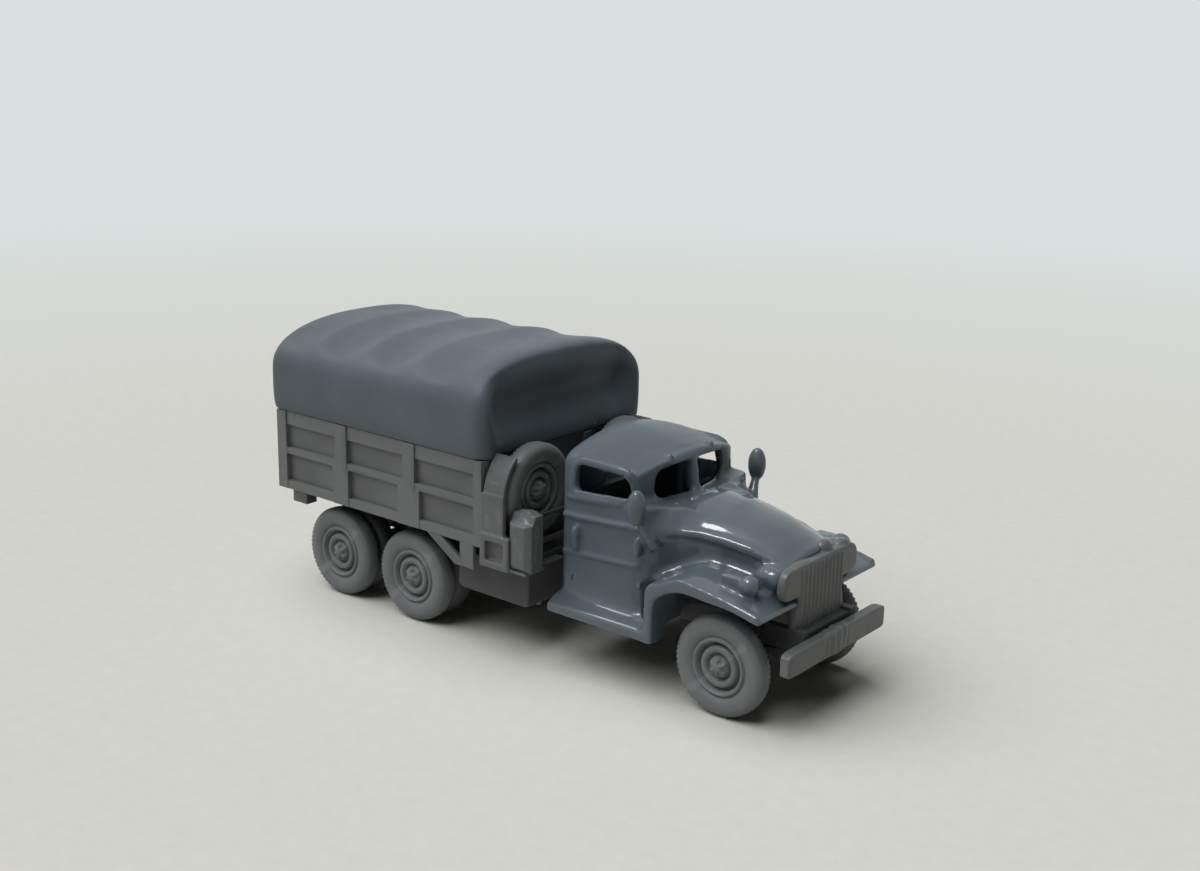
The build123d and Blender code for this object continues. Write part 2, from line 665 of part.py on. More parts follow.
def cab_shell():
    """The cab's walls and roof with its windows cut and its mouldings and handles on."""
    shell = cab_hull(0) - cab_hull(CAB_WALL)
    skirt_y = CAB_HALF_WIDTH - CAB_WALL
    shell -= block(CAB_BACK - OVERCUT, COWL_FRONT + OVERCUT, -skirt_y, skirt_y, 0, RAIL_TOP)
    window_rear = DOOR_REAR + WINDOW_MARGIN_REAR
    window_front = SCREEN_LOW_X - WINDOW_MARGIN_FRONT
    window = [
        (window_rear, WINDOW_LOW, WINDOW_CORNER),
        (window_front, WINDOW_LOW + WINDOW_SILL_RISE, WINDOW_CORNER),
        (window_front - WINDOW_SILL_RISE, WINDOW_HIGH - WINDOW_HEAD_FALL, WINDOW_CORNER),
        (window_rear, WINDOW_HIGH, WINDOW_CORNER),
    ]
    wide = CAB_HALF_WIDTH + OVERCUT
    shell -= prism_y(window, -wide, wide)
    for sign in (-1, 1):
        near = sign * PILLAR_HALF
        far = sign * (CAB_HALF_WIDTH - SCREEN_PILLAR)
        low = COWL_TOP + SCREEN_LOW
        high = COWL_TOP + SCREEN_HIGH
        pane = [(near, low + 0.1, 0.3), (far, low, 0.6), (far, high - 0.1, 0.6), (near, high + 0.1, 0.3)]
        shell -= prism_x(pane, SCREEN_LOW_X - SCREEN_DEPTH, COWL_FRONT + OVERCUT)
    pane = [
        (-REAR_WINDOW_HALF, REAR_WINDOW_LOW, 0.5),
        (REAR_WINDOW_HALF, REAR_WINDOW_LOW, 0.5),
        (REAR_WINDOW_HALF, REAR_WINDOW_HIGH, 0.5),
        (-REAR_WINDOW_HALF, REAR_WINDOW_HIGH, 0.5),
    ]
    shell -= prism_x(pane, CAB_BACK - OVERCUT, CAB_BACK + CAB_WALL + OVERCUT / 2)
    trim = Part()
    bed_y = skirt_y + CAB_WALL / 2
    for low, high in MOULDINGS:
        strip = [
            (CAB_BACK + BACK_CORNER_R, low, 0),
            (DOOR_FRONT, low + MOULDING_RISE, 0),
            (DOOR_FRONT, high + MOULDING_RISE, 0),
            (CAB_BACK + BACK_CORNER_R, high, 0),
        ]
        trim += prism_y(strip, bed_y, CAB_HALF_WIDTH + MOULDING_PROUD)
    handle_x = DOOR_REAR + HANDLE_X
    handle = [
        (handle_x - HANDLE_HALF, HANDLE_LOW, 0),
        (handle_x + HANDLE_HALF, HANDLE_LOW, 0),
        (handle_x + HANDLE_HALF, HANDLE_HIGH, 0.2),
        (handle_x - HANDLE_HALF, HANDLE_HIGH, 0.2),
    ]
    trim += prism_y(handle, bed_y, CAB_HALF_WIDTH + HANDLE_PROUD)
    return shell + trim + mirrored(trim)


def cab_nodes():
    shell = cab_shell()
    skirt_y = CAB_HALF_WIDTH - CAB_WALL
    wide = CAB_HALF_WIDTH + OVERCUT
    floor_z = RAIL_TOP + CAB_FLOOR_THICK
    split_z = WINDOW_HIGH + ROOF_SPLIT_RISE
    window_front = SCREEN_LOW_X - WINDOW_MARGIN_FRONT - 0.35
    depth_y = CAB_HALF_WIDTH - SIDE_DEPTH
    rear = CAB_BACK - OVERCUT
    front = COWL_FRONT + OVERCUT
    roof_zone = block(rear, front, -wide, wide, split_z, CAB_ROOF_REAR_Z + OVERCUT)
    back_zone = block(rear, DOOR_REAR, -wide, wide, 0, split_z)
    door_zone = block(DOOR_REAR, window_front, depth_y, wide, 0, split_z)
    door_zone += block(window_front, DOOR_FRONT, depth_y, wide, 0, WINDOW_LOW - SILL_DROP)
    door_zone -= block(CAB_BACK, COWL_FRONT, 0, skirt_y, 0, floor_z)
    right_zone = mirrored(door_zone)
    save("cab_roof", shell & roof_zone)
    save("cab_back", shell & back_zone)
    save("door_left", shell & door_zone)
    save("door_right", shell & right_zone)
    save("cab_front", shell - roof_zone - back_zone - door_zone - right_zone)
    back = CAB_BACK + CAB_WALL + 0.2
    seat = block(back, back + SEAT_BACK_THICK + SEAT_DEPTH, -SEAT_HALF, SEAT_HALF, floor_z, SEAT_TOP)
    seat += block(back, back + SEAT_BACK_THICK, -SEAT_HALF, SEAT_HALF, floor_z, SEAT_BACK_TOP)
    save("seat", seat)
    hub_x = SCREEN_LOW_X - WHEEL_SET
    hub = (hub_x, DRIVER_Y, DRIVER_WHEEL_Z)
    plane = Plane(origin=hub, z_dir=(-1, 0, 0.75))
    half = DRIVER_RIM / 2
    steering = turned(plane, [(DRIVER_WHEEL_R, -half), (DRIVER_WHEEL_R, half)])
    steering -= turned(plane, [(DRIVER_WHEEL_R - DRIVER_RIM, -half), (DRIVER_WHEEL_R - DRIVER_RIM, half)])
    for angle in (0, 90):
        steering += plane.location * Rot(0, 0, angle) * Box(2 * DRIVER_WHEEL_R - DRIVER_RIM, 0.25, 0.2)
    reach = COWL_FRONT - CAB_WALL / 2 - hub_x
    steering += rod(hub, (hub_x + reach, DRIVER_Y, DRIVER_WHEEL_Z - 0.75 * reach), 0.25)
    save("steering_wheel", steering - shell)


# ---------------------------------------------------------------- hood, guard and lamps
HOOD_FRONT = GUARD_FRONT - GUARD_THICK
HOOD_LENGTH = HOOD_FRONT - COWL_FRONT
HOOD_BOTTOM = 8.2
HOOD_WALL = 0.6
HOOD_FLATS = 8
# share of the length from the cowl, half-width, shoulder height and crown height of each section
HOOD_SECTIONS = (
    (0.0, 6.3, 14.6, 17.3),
    (0.14, 5.25, 14.8, 17.6),
    (0.35, 4.7, 14.85, 17.35),
    (0.65, 4.35, 14.45, 16.3),
    (0.9, 4.0, 13.7, 15.0),
    (1.0, 3.75, 13.2, 14.1),
)
ENGINE_HALF = 2.6
ENGINE_SET = 1.5
ENGINE_TOP = 12.4


def hood_section(share, half, shoulder, crown, inset):
    """The corners of a section: upright sides and one arc of flats across the top."""
    x = COWL_FRONT + share * HOOD_LENGTH
    half -= inset
    rise = crown - inset - shoulder
    shoulder -= inset / 2
    radius = (half * half + rise * rise) / (2 * rise)
    centre_z = shoulder + rise - radius
    span = 2 * half
    points = [Vector(x, half, HOOD_BOTTOM), Vector(x, -half, HOOD_BOTTOM)]
    for index in range(HOOD_FLATS + 1):
        y = -half + span * index / HOOD_FLATS
        points.append(Vector(x, y, centre_z + (radius * radius - y * y) ** 0.5))
    return points


def hood_hull(inset):
    """The hood's form through its sections, pulled in by inset."""
    return through([hood_section(*row, inset) for row in HOOD_SECTIONS])


def hood_node():
    inside = block(COWL_FRONT + HOOD_WALL, HOOD_FRONT - HOOD_WALL, -CAB_HALF_WIDTH, CAB_HALF_WIDTH, 0, CAB_ROOF_REAR_Z)
    save("hood", hood_hull(0) - (hood_hull(HOOD_WALL) & inside))
    engine_rear = COWL_FRONT + ENGINE_SET
    engine_front = HOOD_FRONT - ENGINE_SET - 1.0
    save("engine_block", block(engine_rear, engine_front, -ENGINE_HALF, ENGINE_HALF, RAIL_BOTTOM, ENGINE_TOP))


GUARD_WIDE_LOW = 11.0
GUARD_TOP = 13.9
GUARD_WIDE_HALF = 6.2
GUARD_NARROW_HALF = 3.46
GUARD_FOOT_HALF = 4.3
GUARD_BOTTOM = 7.6
GUARD_BARS = 11
GUARD_BAR_WIDTH = 0.26
GUARD_BAR_PROUD = 0.18
GUARD_BAR_DROP = 0.3


def guard_node():
    """The brush guard: narrow below, with two rounded wings, and upright ribs on its face."""
    right = [
        (-GUARD_WIDE_HALF, GUARD_TOP, 1.3),
        (-GUARD_WIDE_HALF, GUARD_WIDE_LOW, 1.0),
        (-GUARD_NARROW_HALF, GUARD_WIDE_LOW, 0.3),
        (-GUARD_FOOT_HALF, GUARD_BOTTOM, 0),
    ]
    left = [(-y, z, radius) for y, z, radius in reversed(right)]
    face_x = GUARD_FRONT - GUARD_BAR_PROUD
    plate = prism_x([*right, *left], GUARD_FRONT - GUARD_THICK, face_x)
    half = GUARD_BAR_WIDTH / 2
    step = 2 * (GUARD_NARROW_HALF - half) / (GUARD_BARS - 1)
    for index in range(GUARD_BARS):
        y = -GUARD_NARROW_HALF + half + index * step
        plate += block(face_x, GUARD_FRONT, y - half, y + half, GUARD_BOTTOM, GUARD_TOP - GUARD_BAR_DROP)
    save("guard", plate - frame())


WRAP_HALF = 2.4
WRAP_COUNT = 4
WRAP_RING_HALF = 0.45
BUMPER_EDGE = 0.3


def bumper_nodes():
    """The front bumper beam and the turns wrapped round its middle."""
    back = BUMPER_FRONT - BUMPER_THICK
    # name, how far proud, edge
    outlines = {}
    for name, proud, edge in (("beam", 0, BUMPER_EDGE), ("core", WRAP_PROUD / 2, 0.4), ("ring", WRAP_PROUD, 0.5)):
        outlines[name] = [
            (back, BUMPER_BOTTOM - proud, edge / 2),
            (BUMPER_FRONT + proud, BUMPER_BOTTOM - proud, edge),
            (BUMPER_FRONT + proud, BUMPER_TOP + proud, edge),
            (back, BUMPER_TOP + proud, edge / 2),
        ]
    beam = prism_y(outlines["beam"], -BUMPER_HALF_WIDTH, BUMPER_HALF_WIDTH)
    save("bumper", beam)
    wraps = prism_y(outlines["core"], -WRAP_HALF, WRAP_HALF)
    step = 2 * (WRAP_HALF - WRAP_RING_HALF) / (WRAP_COUNT - 1)
    for index in range(WRAP_COUNT):
        y = -WRAP_HALF + WRAP_RING_HALF + index * step
        wraps += prism_y(outlines["ring"], y - WRAP_RING_HALF, y + WRAP_RING_HALF)
    save("bumper_wraps", wraps - beam)


# ---------------------------------------------------------------- fenders and lamps
FENDER_REAR = COWL_FRONT + 0.5
FENDER_TIP = GUARD_FRONT - 0.07
FENDER_CREST_X = FRONT_AXLE_X - 3.6
FENDER_CREST_Z = 12.65
BOARD_REAR = CAB_BACK - 0.2
BOARD_FLARE = 0.8
LEG_SET = 2.2
# x, z, radius of the fender's outer line from its rear foot to its tip
FENDER_LINE = (
    (FENDER_REAR, BOARD_BOTTOM, 0),
    (FENDER_REAR, FENDER_CREST_Z - 1.75, 1.6),
    (FENDER_CREST_X, FENDER_CREST_Z, 3.0),
    (FRONT_AXLE_X + 2.2, FENDER_CREST_Z - 0.85, 6.0),
    (FENDER_TIP, FENDER_CREST_Z - 2.15, 0.2),
)
ARCH_LINE = (
    (FENDER_TIP - 0.15, FENDER_CREST_Z - 2.55, 0),
    (FRONT_AXLE_X + 1.5, FENDER_CREST_Z - 1.8, 6.0),
    (FENDER_CREST_X, FENDER_CREST_Z - 1.2, 2.6),
    (FENDER_REAR + FENDER_THICK, FENDER_CREST_Z - 3.05, 1.2),
    (FENDER_REAR + FENDER_THICK, BOARD_BOTTOM, 0),
)


def fender(side_plane):
    """A front fender with its running board, modelled on the right."""
    band = prism_y([*FENDER_LINE, *ARCH_LINE], -FENDER_OUTER_Y, -FENDER_INNER_Y)
    cab_zone = block(CAB_BACK - OVERCUT, COWL_FRONT, -side_plane, 0, 0, CAB_ROOF_REAR_Z)
    leg_front = FENDER_REAR + FENDER_THICK + 0.1
    inner_leg = block(COWL_FRONT, leg_front, -FENDER_OUTER_Y + LEG_SET, 0, 0, CAB_BOTTOM)
    inner_leg += block(COWL_FRONT, leg_front, -RAIL_Y - RAIL_WIDTH, 0, 0, RAIL_TOP + 0.1)
    board = [
        (-FENDER_OUTER_Y, BOARD_BOTTOM, 0.15),
        (-FENDER_OUTER_Y, BOARD_TOP, 0.25),
        (-side_plane, BOARD_TOP + BOARD_FLARE, 0),
        (-side_plane, BOARD_BOTTOM + 0.2, 0),
    ]
    step = prism_x(board, BOARD_REAR, FENDER_REAR + 0.4)
    return band + step - cab_zone - inner_leg - hood_hull(0)


LAMP_SIDES = 8
HEADLAMP_X = FRONT_AXLE_X + 3.3
HEADLAMP_Y = 5.3
HEADLAMP_Z = 12.95
# radius, distance forward of the lamp's middle
HEADLAMP_ROWS = ((0.6, -0.85), (0.95, -0.4), (1.0, 0.4), (0.85, 0.8))
MARKER_X = FRONT_AXLE_X + 2.25
MARKER_Y = 7.6
MARKER_Z = 12.45
# radius, distance above the lamp's middle
MARKER_ROWS = ((0.55, -0.9), (0.88, -0.45), (0.95, 0.0), (0.8, 0.5), (0.4, 0.85))
SIREN_BACK = 2.65
SIREN_LENGTH = 2.0
SIREN_OUT = 0.3
SIREN_WIDTH = 1.2
SIREN_LOW = 11.3
SIREN_HIGH = 12.9


def nose_nodes():
    right_fender = fender(CAB_HALF_WIDTH)
    for side, sign in SIDES:
        save(f"fender_{side}", on_side(right_fender, sign))
    lamp_plane = Plane(origin=(HEADLAMP_X, -HEADLAMP_Y, HEADLAMP_Z), x_dir=(0, 0, 1), z_dir=(1, 0, 0))
    marker_plane = Plane(origin=(MARKER_X, -MARKER_Y, MARKER_Z))
    lamp = turned(lamp_plane, HEADLAMP_ROWS) - right_fender - hood_hull(0)
    siren_x = MARKER_X - SIREN_BACK
    siren_y = -MARKER_Y - SIREN_OUT
    marker = turned(marker_plane, MARKER_ROWS, LAMP_SIDES)
    marker += block(siren_x, siren_x + SIREN_LENGTH, siren_y, siren_y + SIREN_WIDTH, SIREN_LOW, SIREN_HIGH)
    marker -= right_fender
    save("headlamps", lamp + mirrored(lamp))
    save("marker_lamps", marker + mirrored(marker))


# ---------------------------------------------------------------- mirrors
MIRROR_SIDES = 8
MIRROR_X = COWL_FRONT - 0.88
MIRROR_Y = CAB_HALF_WIDTH + 1.19
MIRROR_Z = 17.54
MIRROR_FOOT_X = COWL_FRONT - 0.8
MIRROR_FOOT_Y = CAB_HALF_WIDTH - 0.1
MIRROR_FOOT_Z = 13.9
# radius, distance above the head's middle
MIRROR_ROWS = ((0.35, -1.5), (0.7, -0.95), (0.8, 0.0), (0.68, 0.95), (0.3, 1.5))


def mirror_nodes():
    head_plane = Plane(origin=(MIRROR_X, -MIRROR_Y, MIRROR_Z))
    mirror = turned(head_plane, MIRROR_ROWS, MIRROR_SIDES)
    foot = (MIRROR_FOOT_X, -MIRROR_FOOT_Y, MIRROR_FOOT_Z)
    mirror += rod(foot, (MIRROR_X, -MIRROR_Y, MIRROR_Z - 1.0), 0.45, 0.35)
    mirror -= cab_hull(0)
    for side, sign in SIDES:
        save(f"mirror_{side}", on_side(mirror, sign))


# ---------------------------------------------------------------- load behind the cab
CARRIER_BAR = 0.4
CARRIER_BASE = 0.6
CARRIER_SET = 0.25
CARRIER_BARS_Z = (10.6, 13.15)
TANK_REAR = -5.8
TANK_FRONT = 3.3
TANK_INNER_Y = 4.9
TANK_OUTER_Y = 10.2
TANK_BOTTOM = 5.07
TANK_TOP = 9.0
SHELF_THICK = 0.3
RACK_OUTER_Y = SIDE_PLANE_Y + POST_PROUD
RACK_THICK = 0.45
RACK_WIDTH = 2.8
RACK_TOP = 16.1
RACK_SET = 0.05
RING_WIDTH = 3.6
RING_LOW = 9.0
RING_HIGH = 12.25
RING_WALL = 0.65
PANEL_PROUD = 0.1
RING_PROUD = 0.3
RING_FLOOR = 0.2
CAN_WIDTH = 2.8
CAN_THICK = 2.35
CAN_GAP = 0.2
CAN_TOP = 14.7
CAN_STEP = 0.8
CAN_CORNER_R = 0.5
CAN_FOOT_R = 0.4
SPARE_FRONT = BED_FRONT + SPARE_GAP


def spare_carrier(can_inner_y):
    """The stand between bed and cab: a peg in each spare's bore and two bars before them."""
    back_x = SPARE_FRONT - TYRE_WIDTH + BEAD_SET
    post_rear = BED_FRONT + CARRIER_SET
    post_front = post_rear + CARRIER_BAR
    bar_rear = SPARE_FRONT + 0.05
    bar_front = bar_rear + CARRIER_BAR
    reach = can_inner_y - CAN_GAP
    stand = block(post_rear, bar_front, -reach, reach, TANK_TOP, TANK_TOP + CARRIER_BASE)
    for sign in (-1, 1):
        y = sign * SPARE_Y
        foot = sign * RAIL_Y
        half = RAIL_WIDTH / 2
        stand += block(post_rear, bar_front, foot - half, foot + half, RAIL_TOP, TANK_TOP)
        stand += block(post_rear, post_front, y - 0.8, y + 0.8, TANK_TOP, SPARE_Z + 0.8)
        peg_end = back_x + BORE_DEPTH - STUB_PLAY * 2
        stand += rod((post_front - 0.1, y, SPARE_Z), (peg_end, y, SPARE_Z), STUB_R)
        edge = sign * (reach - CARRIER_BAR / 2)
        stand += block(bar_rear, bar_front, edge - CARRIER_BAR / 2, edge + CARRIER_BAR / 2,
                       TANK_TOP, CARRIER_BARS_Z[1] + CARRIER_BAR)
    for z in CARRIER_BARS_Z:
        stand += block(bar_rear, bar_front, -reach, reach, z, z + CARRIER_BAR)
    return stand


def jerrycan(can_inner_y):
    """A can standing outboard, before the spare: its top steps up inboard, under its handles."""
    low = TANK_TOP + SHELF_THICK
    rear = SPARE_FRONT + CAN_GAP
    outer = -RACK_OUTER_Y
    step_y = outer + CAN_WIDTH / 4
    front = [
        (outer, low, CAN_FOOT_R),
        (-can_inner_y, low, CAN_FOOT_R),
        (-can_inner_y, CAN_TOP, CAN_CORNER_R),
        (step_y + CAN_STEP / 2, CAN_TOP, 0),
        (step_y, CAN_TOP - CAN_STEP, 0),
        (outer, CAN_TOP - CAN_STEP, CAN_CORNER_R / 2),
    ]
    plan = [
        (rear, outer, CAN_CORNER_R),
        (rear + CAN_THICK, outer, CAN_CORNER_R),
        (rear + CAN_THICK, -can_inner_y, CAN_CORNER_R),
        (rear, -can_inner_y, CAN_CORNER_R),
    ]
    return prism_x(front, rear, rear + CAN_THICK) & prism_z(plan, low, CAN_TOP)


def side_rack(can_inner_y):
    """The rack outboard of the spare: shelf, open square frame, panel and curved tyre guard."""
    outer = -RACK_OUTER_Y
    inner = outer + RACK_THICK
    rear = BED_FRONT + RACK_SET
    ring_front = rear + RING_WIDTH
    face = outer - RING_PROUD
    rack = block(rear, ring_front, face, inner, RING_LOW, RING_HIGH)
    rack -= block(rear + RING_WALL, ring_front - RING_WALL, face - OVERCUT, inner - RING_FLOOR,
                  RING_LOW + RING_WALL, RING_HIGH - RING_WALL)
    rack += block(rear, rear + RACK_WIDTH, outer - PANEL_PROUD, inner, RING_HIGH, RACK_TOP)
    shelf_front = SPARE_FRONT + CAN_GAP + CAN_THICK
    rack += block(rear, shelf_front, outer + 0.05, -can_inner_y, TANK_TOP, TANK_TOP + SHELF_THICK)
    guard_r = RACK_OUTER_Y - SPARE_Y
    middle = rear + RACK_WIDTH / 2 + 0.1
    half = RACK_WIDTH / 2 - 0.1
    centre = Location((middle, -SPARE_Y, SPARE_Z))
    tube = centre * Rot(0, 90, 0) * (Cylinder(guard_r, half * 2) - Cylinder(guard_r - RACK_THICK, half * 2))
    wide = outer - OVERCUT
    quarter = [(wide, SPARE_Z, 0), (-SPARE_Y, SPARE_Z, 0), (-SPARE_Y - 3.5, SPARE_Z + 4.05, 0), (wide, SPARE_Z + 4.55, 0)]
    return rack + (tube & prism_x(quarter, middle - half, middle + half))


def load_nodes():
    """The spare wheels on their stand, and the tanks, cans and racks at each side."""
    can_inner_y = RACK_OUTER_Y - CAN_WIDTH
    for side, sign in SIDES:
        origin = (SPARE_FRONT - TYRE_WIDTH / 2, sign * SPARE_Y, SPARE_Z)
        save(f"spare_{side}", wheel_solid(Plane(origin=origin, x_dir=(0, 0, 1), z_dir=(1, 0, 0)), 1))
    save("spare_carrier", spare_carrier(can_inner_y))
    tank = [
        (TANK_REAR, TANK_BOTTOM, 0.4),
        (TANK_FRONT, TANK_BOTTOM, 0.3),
        (TANK_FRONT, TANK_TOP, 0),
        (TANK_REAR, TANK_TOP, 0.4),
    ]
    right_tank = prism_y(tank, -TANK_OUTER_Y, -TANK_INNER_Y)
    right_can = jerrycan(can_inner_y)
    right_rack = side_rack(can_inner_y) - right_can
    save("fuel_tanks", right_tank + mirrored(right_tank))
    save("jerrycans", right_can + mirrored(right_can))
    save("side_racks", right_rack + mirrored(right_rack))


# ---------------------------------------------------------------- brackets under the bed
BRACKET_REAR = 7.4
BRACKET_TOE = 3.6
BRACKET_FRONT = 1.1
BRACKET_DROP = 2.45
BRACKET_THICK = 0.5
BRACKET_RIM = 0.7
STEP_SET = 0.3
STEP_LENGTH = 2.2
STEP_DROP = 1.95
STEP_OUTER_Y = 10.4
STEP_INNER_Y = 9.0


def bracket_node():
    """The cut-out splash plates below the front bay and the rear step brackets."""
    low = BED_BOTTOM - BRACKET_DROP
    heel = BED_FRONT - BRACKET_REAR
    toe = BED_FRONT - BRACKET_TOE
    front = BED_FRONT - BRACKET_FRONT
    outline = [(heel, BED_BOTTOM, 0), (toe, low, 0), (front, low, 0), (front, BED_BOTTOM, 0)]
    hole = [
        (heel + BRACKET_RIM * 2.7, BED_BOTTOM, 0),
        (toe + BRACKET_RIM, low + BRACKET_RIM, 0),
        (toe + BRACKET_RIM, BED_BOTTOM, 0),
    ]
    outer = -SIDE_PLANE_Y - RAIL_PROUD
    plates = prism_y(outline, outer, outer + BRACKET_THICK)
    plates -= prism_y(hole, outer - OVERCUT, outer + OVERCUT)
    step_rear = BED_REAR + STEP_SET
    step_front = step_rear + STEP_LENGTH
    step_low = BED_BOTTOM - STEP_DROP
    plates += block(step_rear, step_front, -STEP_OUTER_Y, -STEP_INNER_Y, step_low, BED_BOTTOM)
    plates -= cross_bearers()
    save("bed_brackets", plates + mirrored(plates))


chassis_nodes()
wheel_nodes()
bed_nodes()
canopy_node()
cab_nodes()
hood_node()
guard_node()
bumper_nodes()
nose_nodes()
mirror_nodes()
load_nodes()
bracket_node()
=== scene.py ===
import math

import bmesh
import bpy
import numpy as np
from mathutils import Matrix, Vector


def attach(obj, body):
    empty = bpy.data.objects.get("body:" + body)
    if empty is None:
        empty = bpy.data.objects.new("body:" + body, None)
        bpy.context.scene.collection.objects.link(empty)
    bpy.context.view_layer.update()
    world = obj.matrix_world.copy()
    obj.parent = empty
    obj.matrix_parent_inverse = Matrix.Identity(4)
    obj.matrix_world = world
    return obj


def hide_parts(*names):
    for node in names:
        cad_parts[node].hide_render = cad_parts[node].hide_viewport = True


# The dressed model of a six-wheeled cargo truck, cast in resin. Shapes are worked out in millimetres,
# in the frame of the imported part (+X forward, +Y left, +Z up), and written to their meshes in metres.

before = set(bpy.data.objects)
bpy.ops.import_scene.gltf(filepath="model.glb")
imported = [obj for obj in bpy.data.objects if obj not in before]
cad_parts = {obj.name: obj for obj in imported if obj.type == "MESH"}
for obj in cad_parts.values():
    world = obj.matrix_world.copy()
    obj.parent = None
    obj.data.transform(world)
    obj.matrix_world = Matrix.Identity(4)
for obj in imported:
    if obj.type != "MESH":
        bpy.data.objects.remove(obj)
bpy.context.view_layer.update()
MM = 0.001
SCENE = bpy.context.scene
SIDES = (("left", 1), ("right", -1))


# ---------------------------------------------------------------- mesh tools
class Soup:
    """Closed shapes in millimetres, gathered to be joined into one skin."""

    def __init__(self):
        self.verts = []
        self.faces = []

    def add(self, verts, faces):
        start = len(self.verts)
        self.verts.extend(tuple(v) for v in verts)
        self.faces.extend(tuple(start + i for i in face) for face in faces)
        return self

    def join(self, other):
        return self.add(other.verts, other.faces)

    def nodes(self, *names):
        """The meshes of CAD nodes, copied."""
        for name in names:
            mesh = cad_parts[name].data
            self.add([v.co / MM for v in mesh.vertices], [tuple(p.vertices) for p in mesh.polygons])
        return self

    def rings(self, rings, closed=False):
        """A skin through rings of points, capped at both ends unless closed on itself."""
        start = len(self.verts)
        count = len(rings[0])
        for ring in rings:
            self.verts.extend(tuple(p) for p in ring)
        spans = len(rings) if closed else len(rings) - 1
        for i in range(spans):
            a = start + i * count
            b = start + ((i + 1) % len(rings)) * count
            for j in range(count):
                k = (j + 1) % count
                self.faces.append((a + j, a + k, b + k, b + j))
        if not closed:
            last = start + (len(rings) - 1) * count
            self.faces.append(tuple(start + j for j in reversed(range(count))))
            self.faces.append(tuple(last + j for j in range(count)))
        return self

    def block(self, x0, x1, y0, y1, z0, z1):
        """A box between two values on each axis."""
        low = [(x0, y0, z0), (x1, y0, z0), (x1, y1, z0), (x0, y1, z0)]
        return self.rings([low, [(x, y, z1) for x, y, _ in low]])

    def egg(self, centre, radii, rings=12, sides=20):
        """An ellipsoid."""
        rows = []
        for i in range(1, rings):
            lat = math.pi * i / rings - math.pi / 2
            row = []
            for j in range(sides):
                lon = 2 * math.pi * j / sides
                row.append((
                    centre[0] + radii[0] * math.cos(lat) * math.cos(lon),
                    centre[1] + radii[1] * math.cos(lat) * math.sin(lon),
                    centre[2] + radii[2] * math.sin(lat),
                ))
            rows.append(row)
        return self.rings(rows)

    def tube(self, points, radii, closed=False, sides=12, flat=1.0, across=(0, 1, 0)):
        """A tube along points; flat squeezes it along the direction across, or one for each point."""
        pts = [Vector(p) for p in points]
        rows = []
        sides_of = across if isinstance(across, list) else [across] * len(pts)
        for i, p in enumerate(pts):
            side = Vector(sides_of[i]).normalized()
            before = pts[i - 1] if (i or closed) else p
            after = pts[(i + 1) % len(pts)] if (i + 1 < len(pts) or closed) else p
            way = (after - before).normalized()
            u = (side - way * side.dot(way)).normalized()
            v = way.cross(u)
            r = radii[i] if hasattr(radii, "__len__") else radii
            row = []
            for j in range(sides):
                a = 2 * math.pi * j / sides
                row.append(tuple(p + u * (r * flat * math.cos(a)) + v * (r * math.sin(a))))
            rows.append(row)
        return self.rings(rows, closed)

    def mirrored(self):
        """A copy for the other side."""
        verts = [(x, -y, z) for x, y, z in self.verts]
        return Soup().add(verts, [tuple(reversed(face)) for face in self.faces])

    def mirror(self):
        """The same shapes again on the other side."""
        return self.join(self.mirrored())


def evaluated(obj):
    """Applies an object's modifiers to its mesh."""
    graph = bpy.context.evaluated_depsgraph_get()
    mesh = bpy.data.meshes.new_from_object(obj.evaluated_get(graph))
    obj.modifiers.clear()
    old = obj.data
    obj.data = mesh
    bpy.data.meshes.remove(old)


def modify(obj, kind, **settings):
    """Adds a modifier, to be applied by evaluated()."""
    modifier = obj.modifiers.new(kind.lower(), kind)
    for key, value in settings.items():
        setattr(modifier, key, value)


def new_object(name, soup):
    """A soup as an object of its own, still in millimetres."""
    mesh = bpy.data.meshes.new(name)
    mesh.from_pydata(soup.verts, [], soup.faces)
    mesh.update()
    obj = bpy.data.objects.new(name, mesh)
    SCENE.collection.objects.link(obj)
    return obj


def coords(obj):
    """An object's points, one row each."""
    co = np.empty(len(obj.data.vertices) * 3)
    obj.data.vertices.foreach_get("co", co)
    return co.reshape(-1, 3)


def set_coords(obj, co):
    obj.data.vertices.foreach_set("co", co.ravel())
    obj.data.update()


def shade_smooth(obj):
    obj.data.polygons.foreach_set("use_smooth", [True] * len(obj.data.polygons))


def soup_of(obj):
    """An object's mesh as a soup again, to go on from."""
    soup = Soup()
    soup.verts = [tuple(v) for v in coords(obj)]
    soup.faces = [tuple(p.vertices) for p in obj.data.polygons]
    mesh = obj.data
    bpy.data.objects.remove(obj)
    bpy.data.meshes.remove(mesh)
    return soup


def skin(name, soup, voxel, smooth=4, fillet=0.0, keep=1.0):
    """One soft skin round a soup: joined by voxels, its inner corners filled, and smoothed."""
    obj = new_object(name, soup)
    modify(obj, "REMESH", mode="VOXEL", voxel_size=voxel, use_smooth_shade=True)
    if fillet:
        modify(obj, "DISPLACE", strength=fillet, mid_level=0.0)
        modify(obj, "REMESH", mode="VOXEL", voxel_size=voxel, use_smooth_shade=True)
        modify(obj, "DISPLACE", strength=-fillet, mid_level=0.0)
    modify(obj, "SMOOTH", factor=0.5, iterations=smooth)
    if keep < 1.0:
        modify(obj, "DECIMATE", ratio=keep)
    evaluated(obj)
    return obj


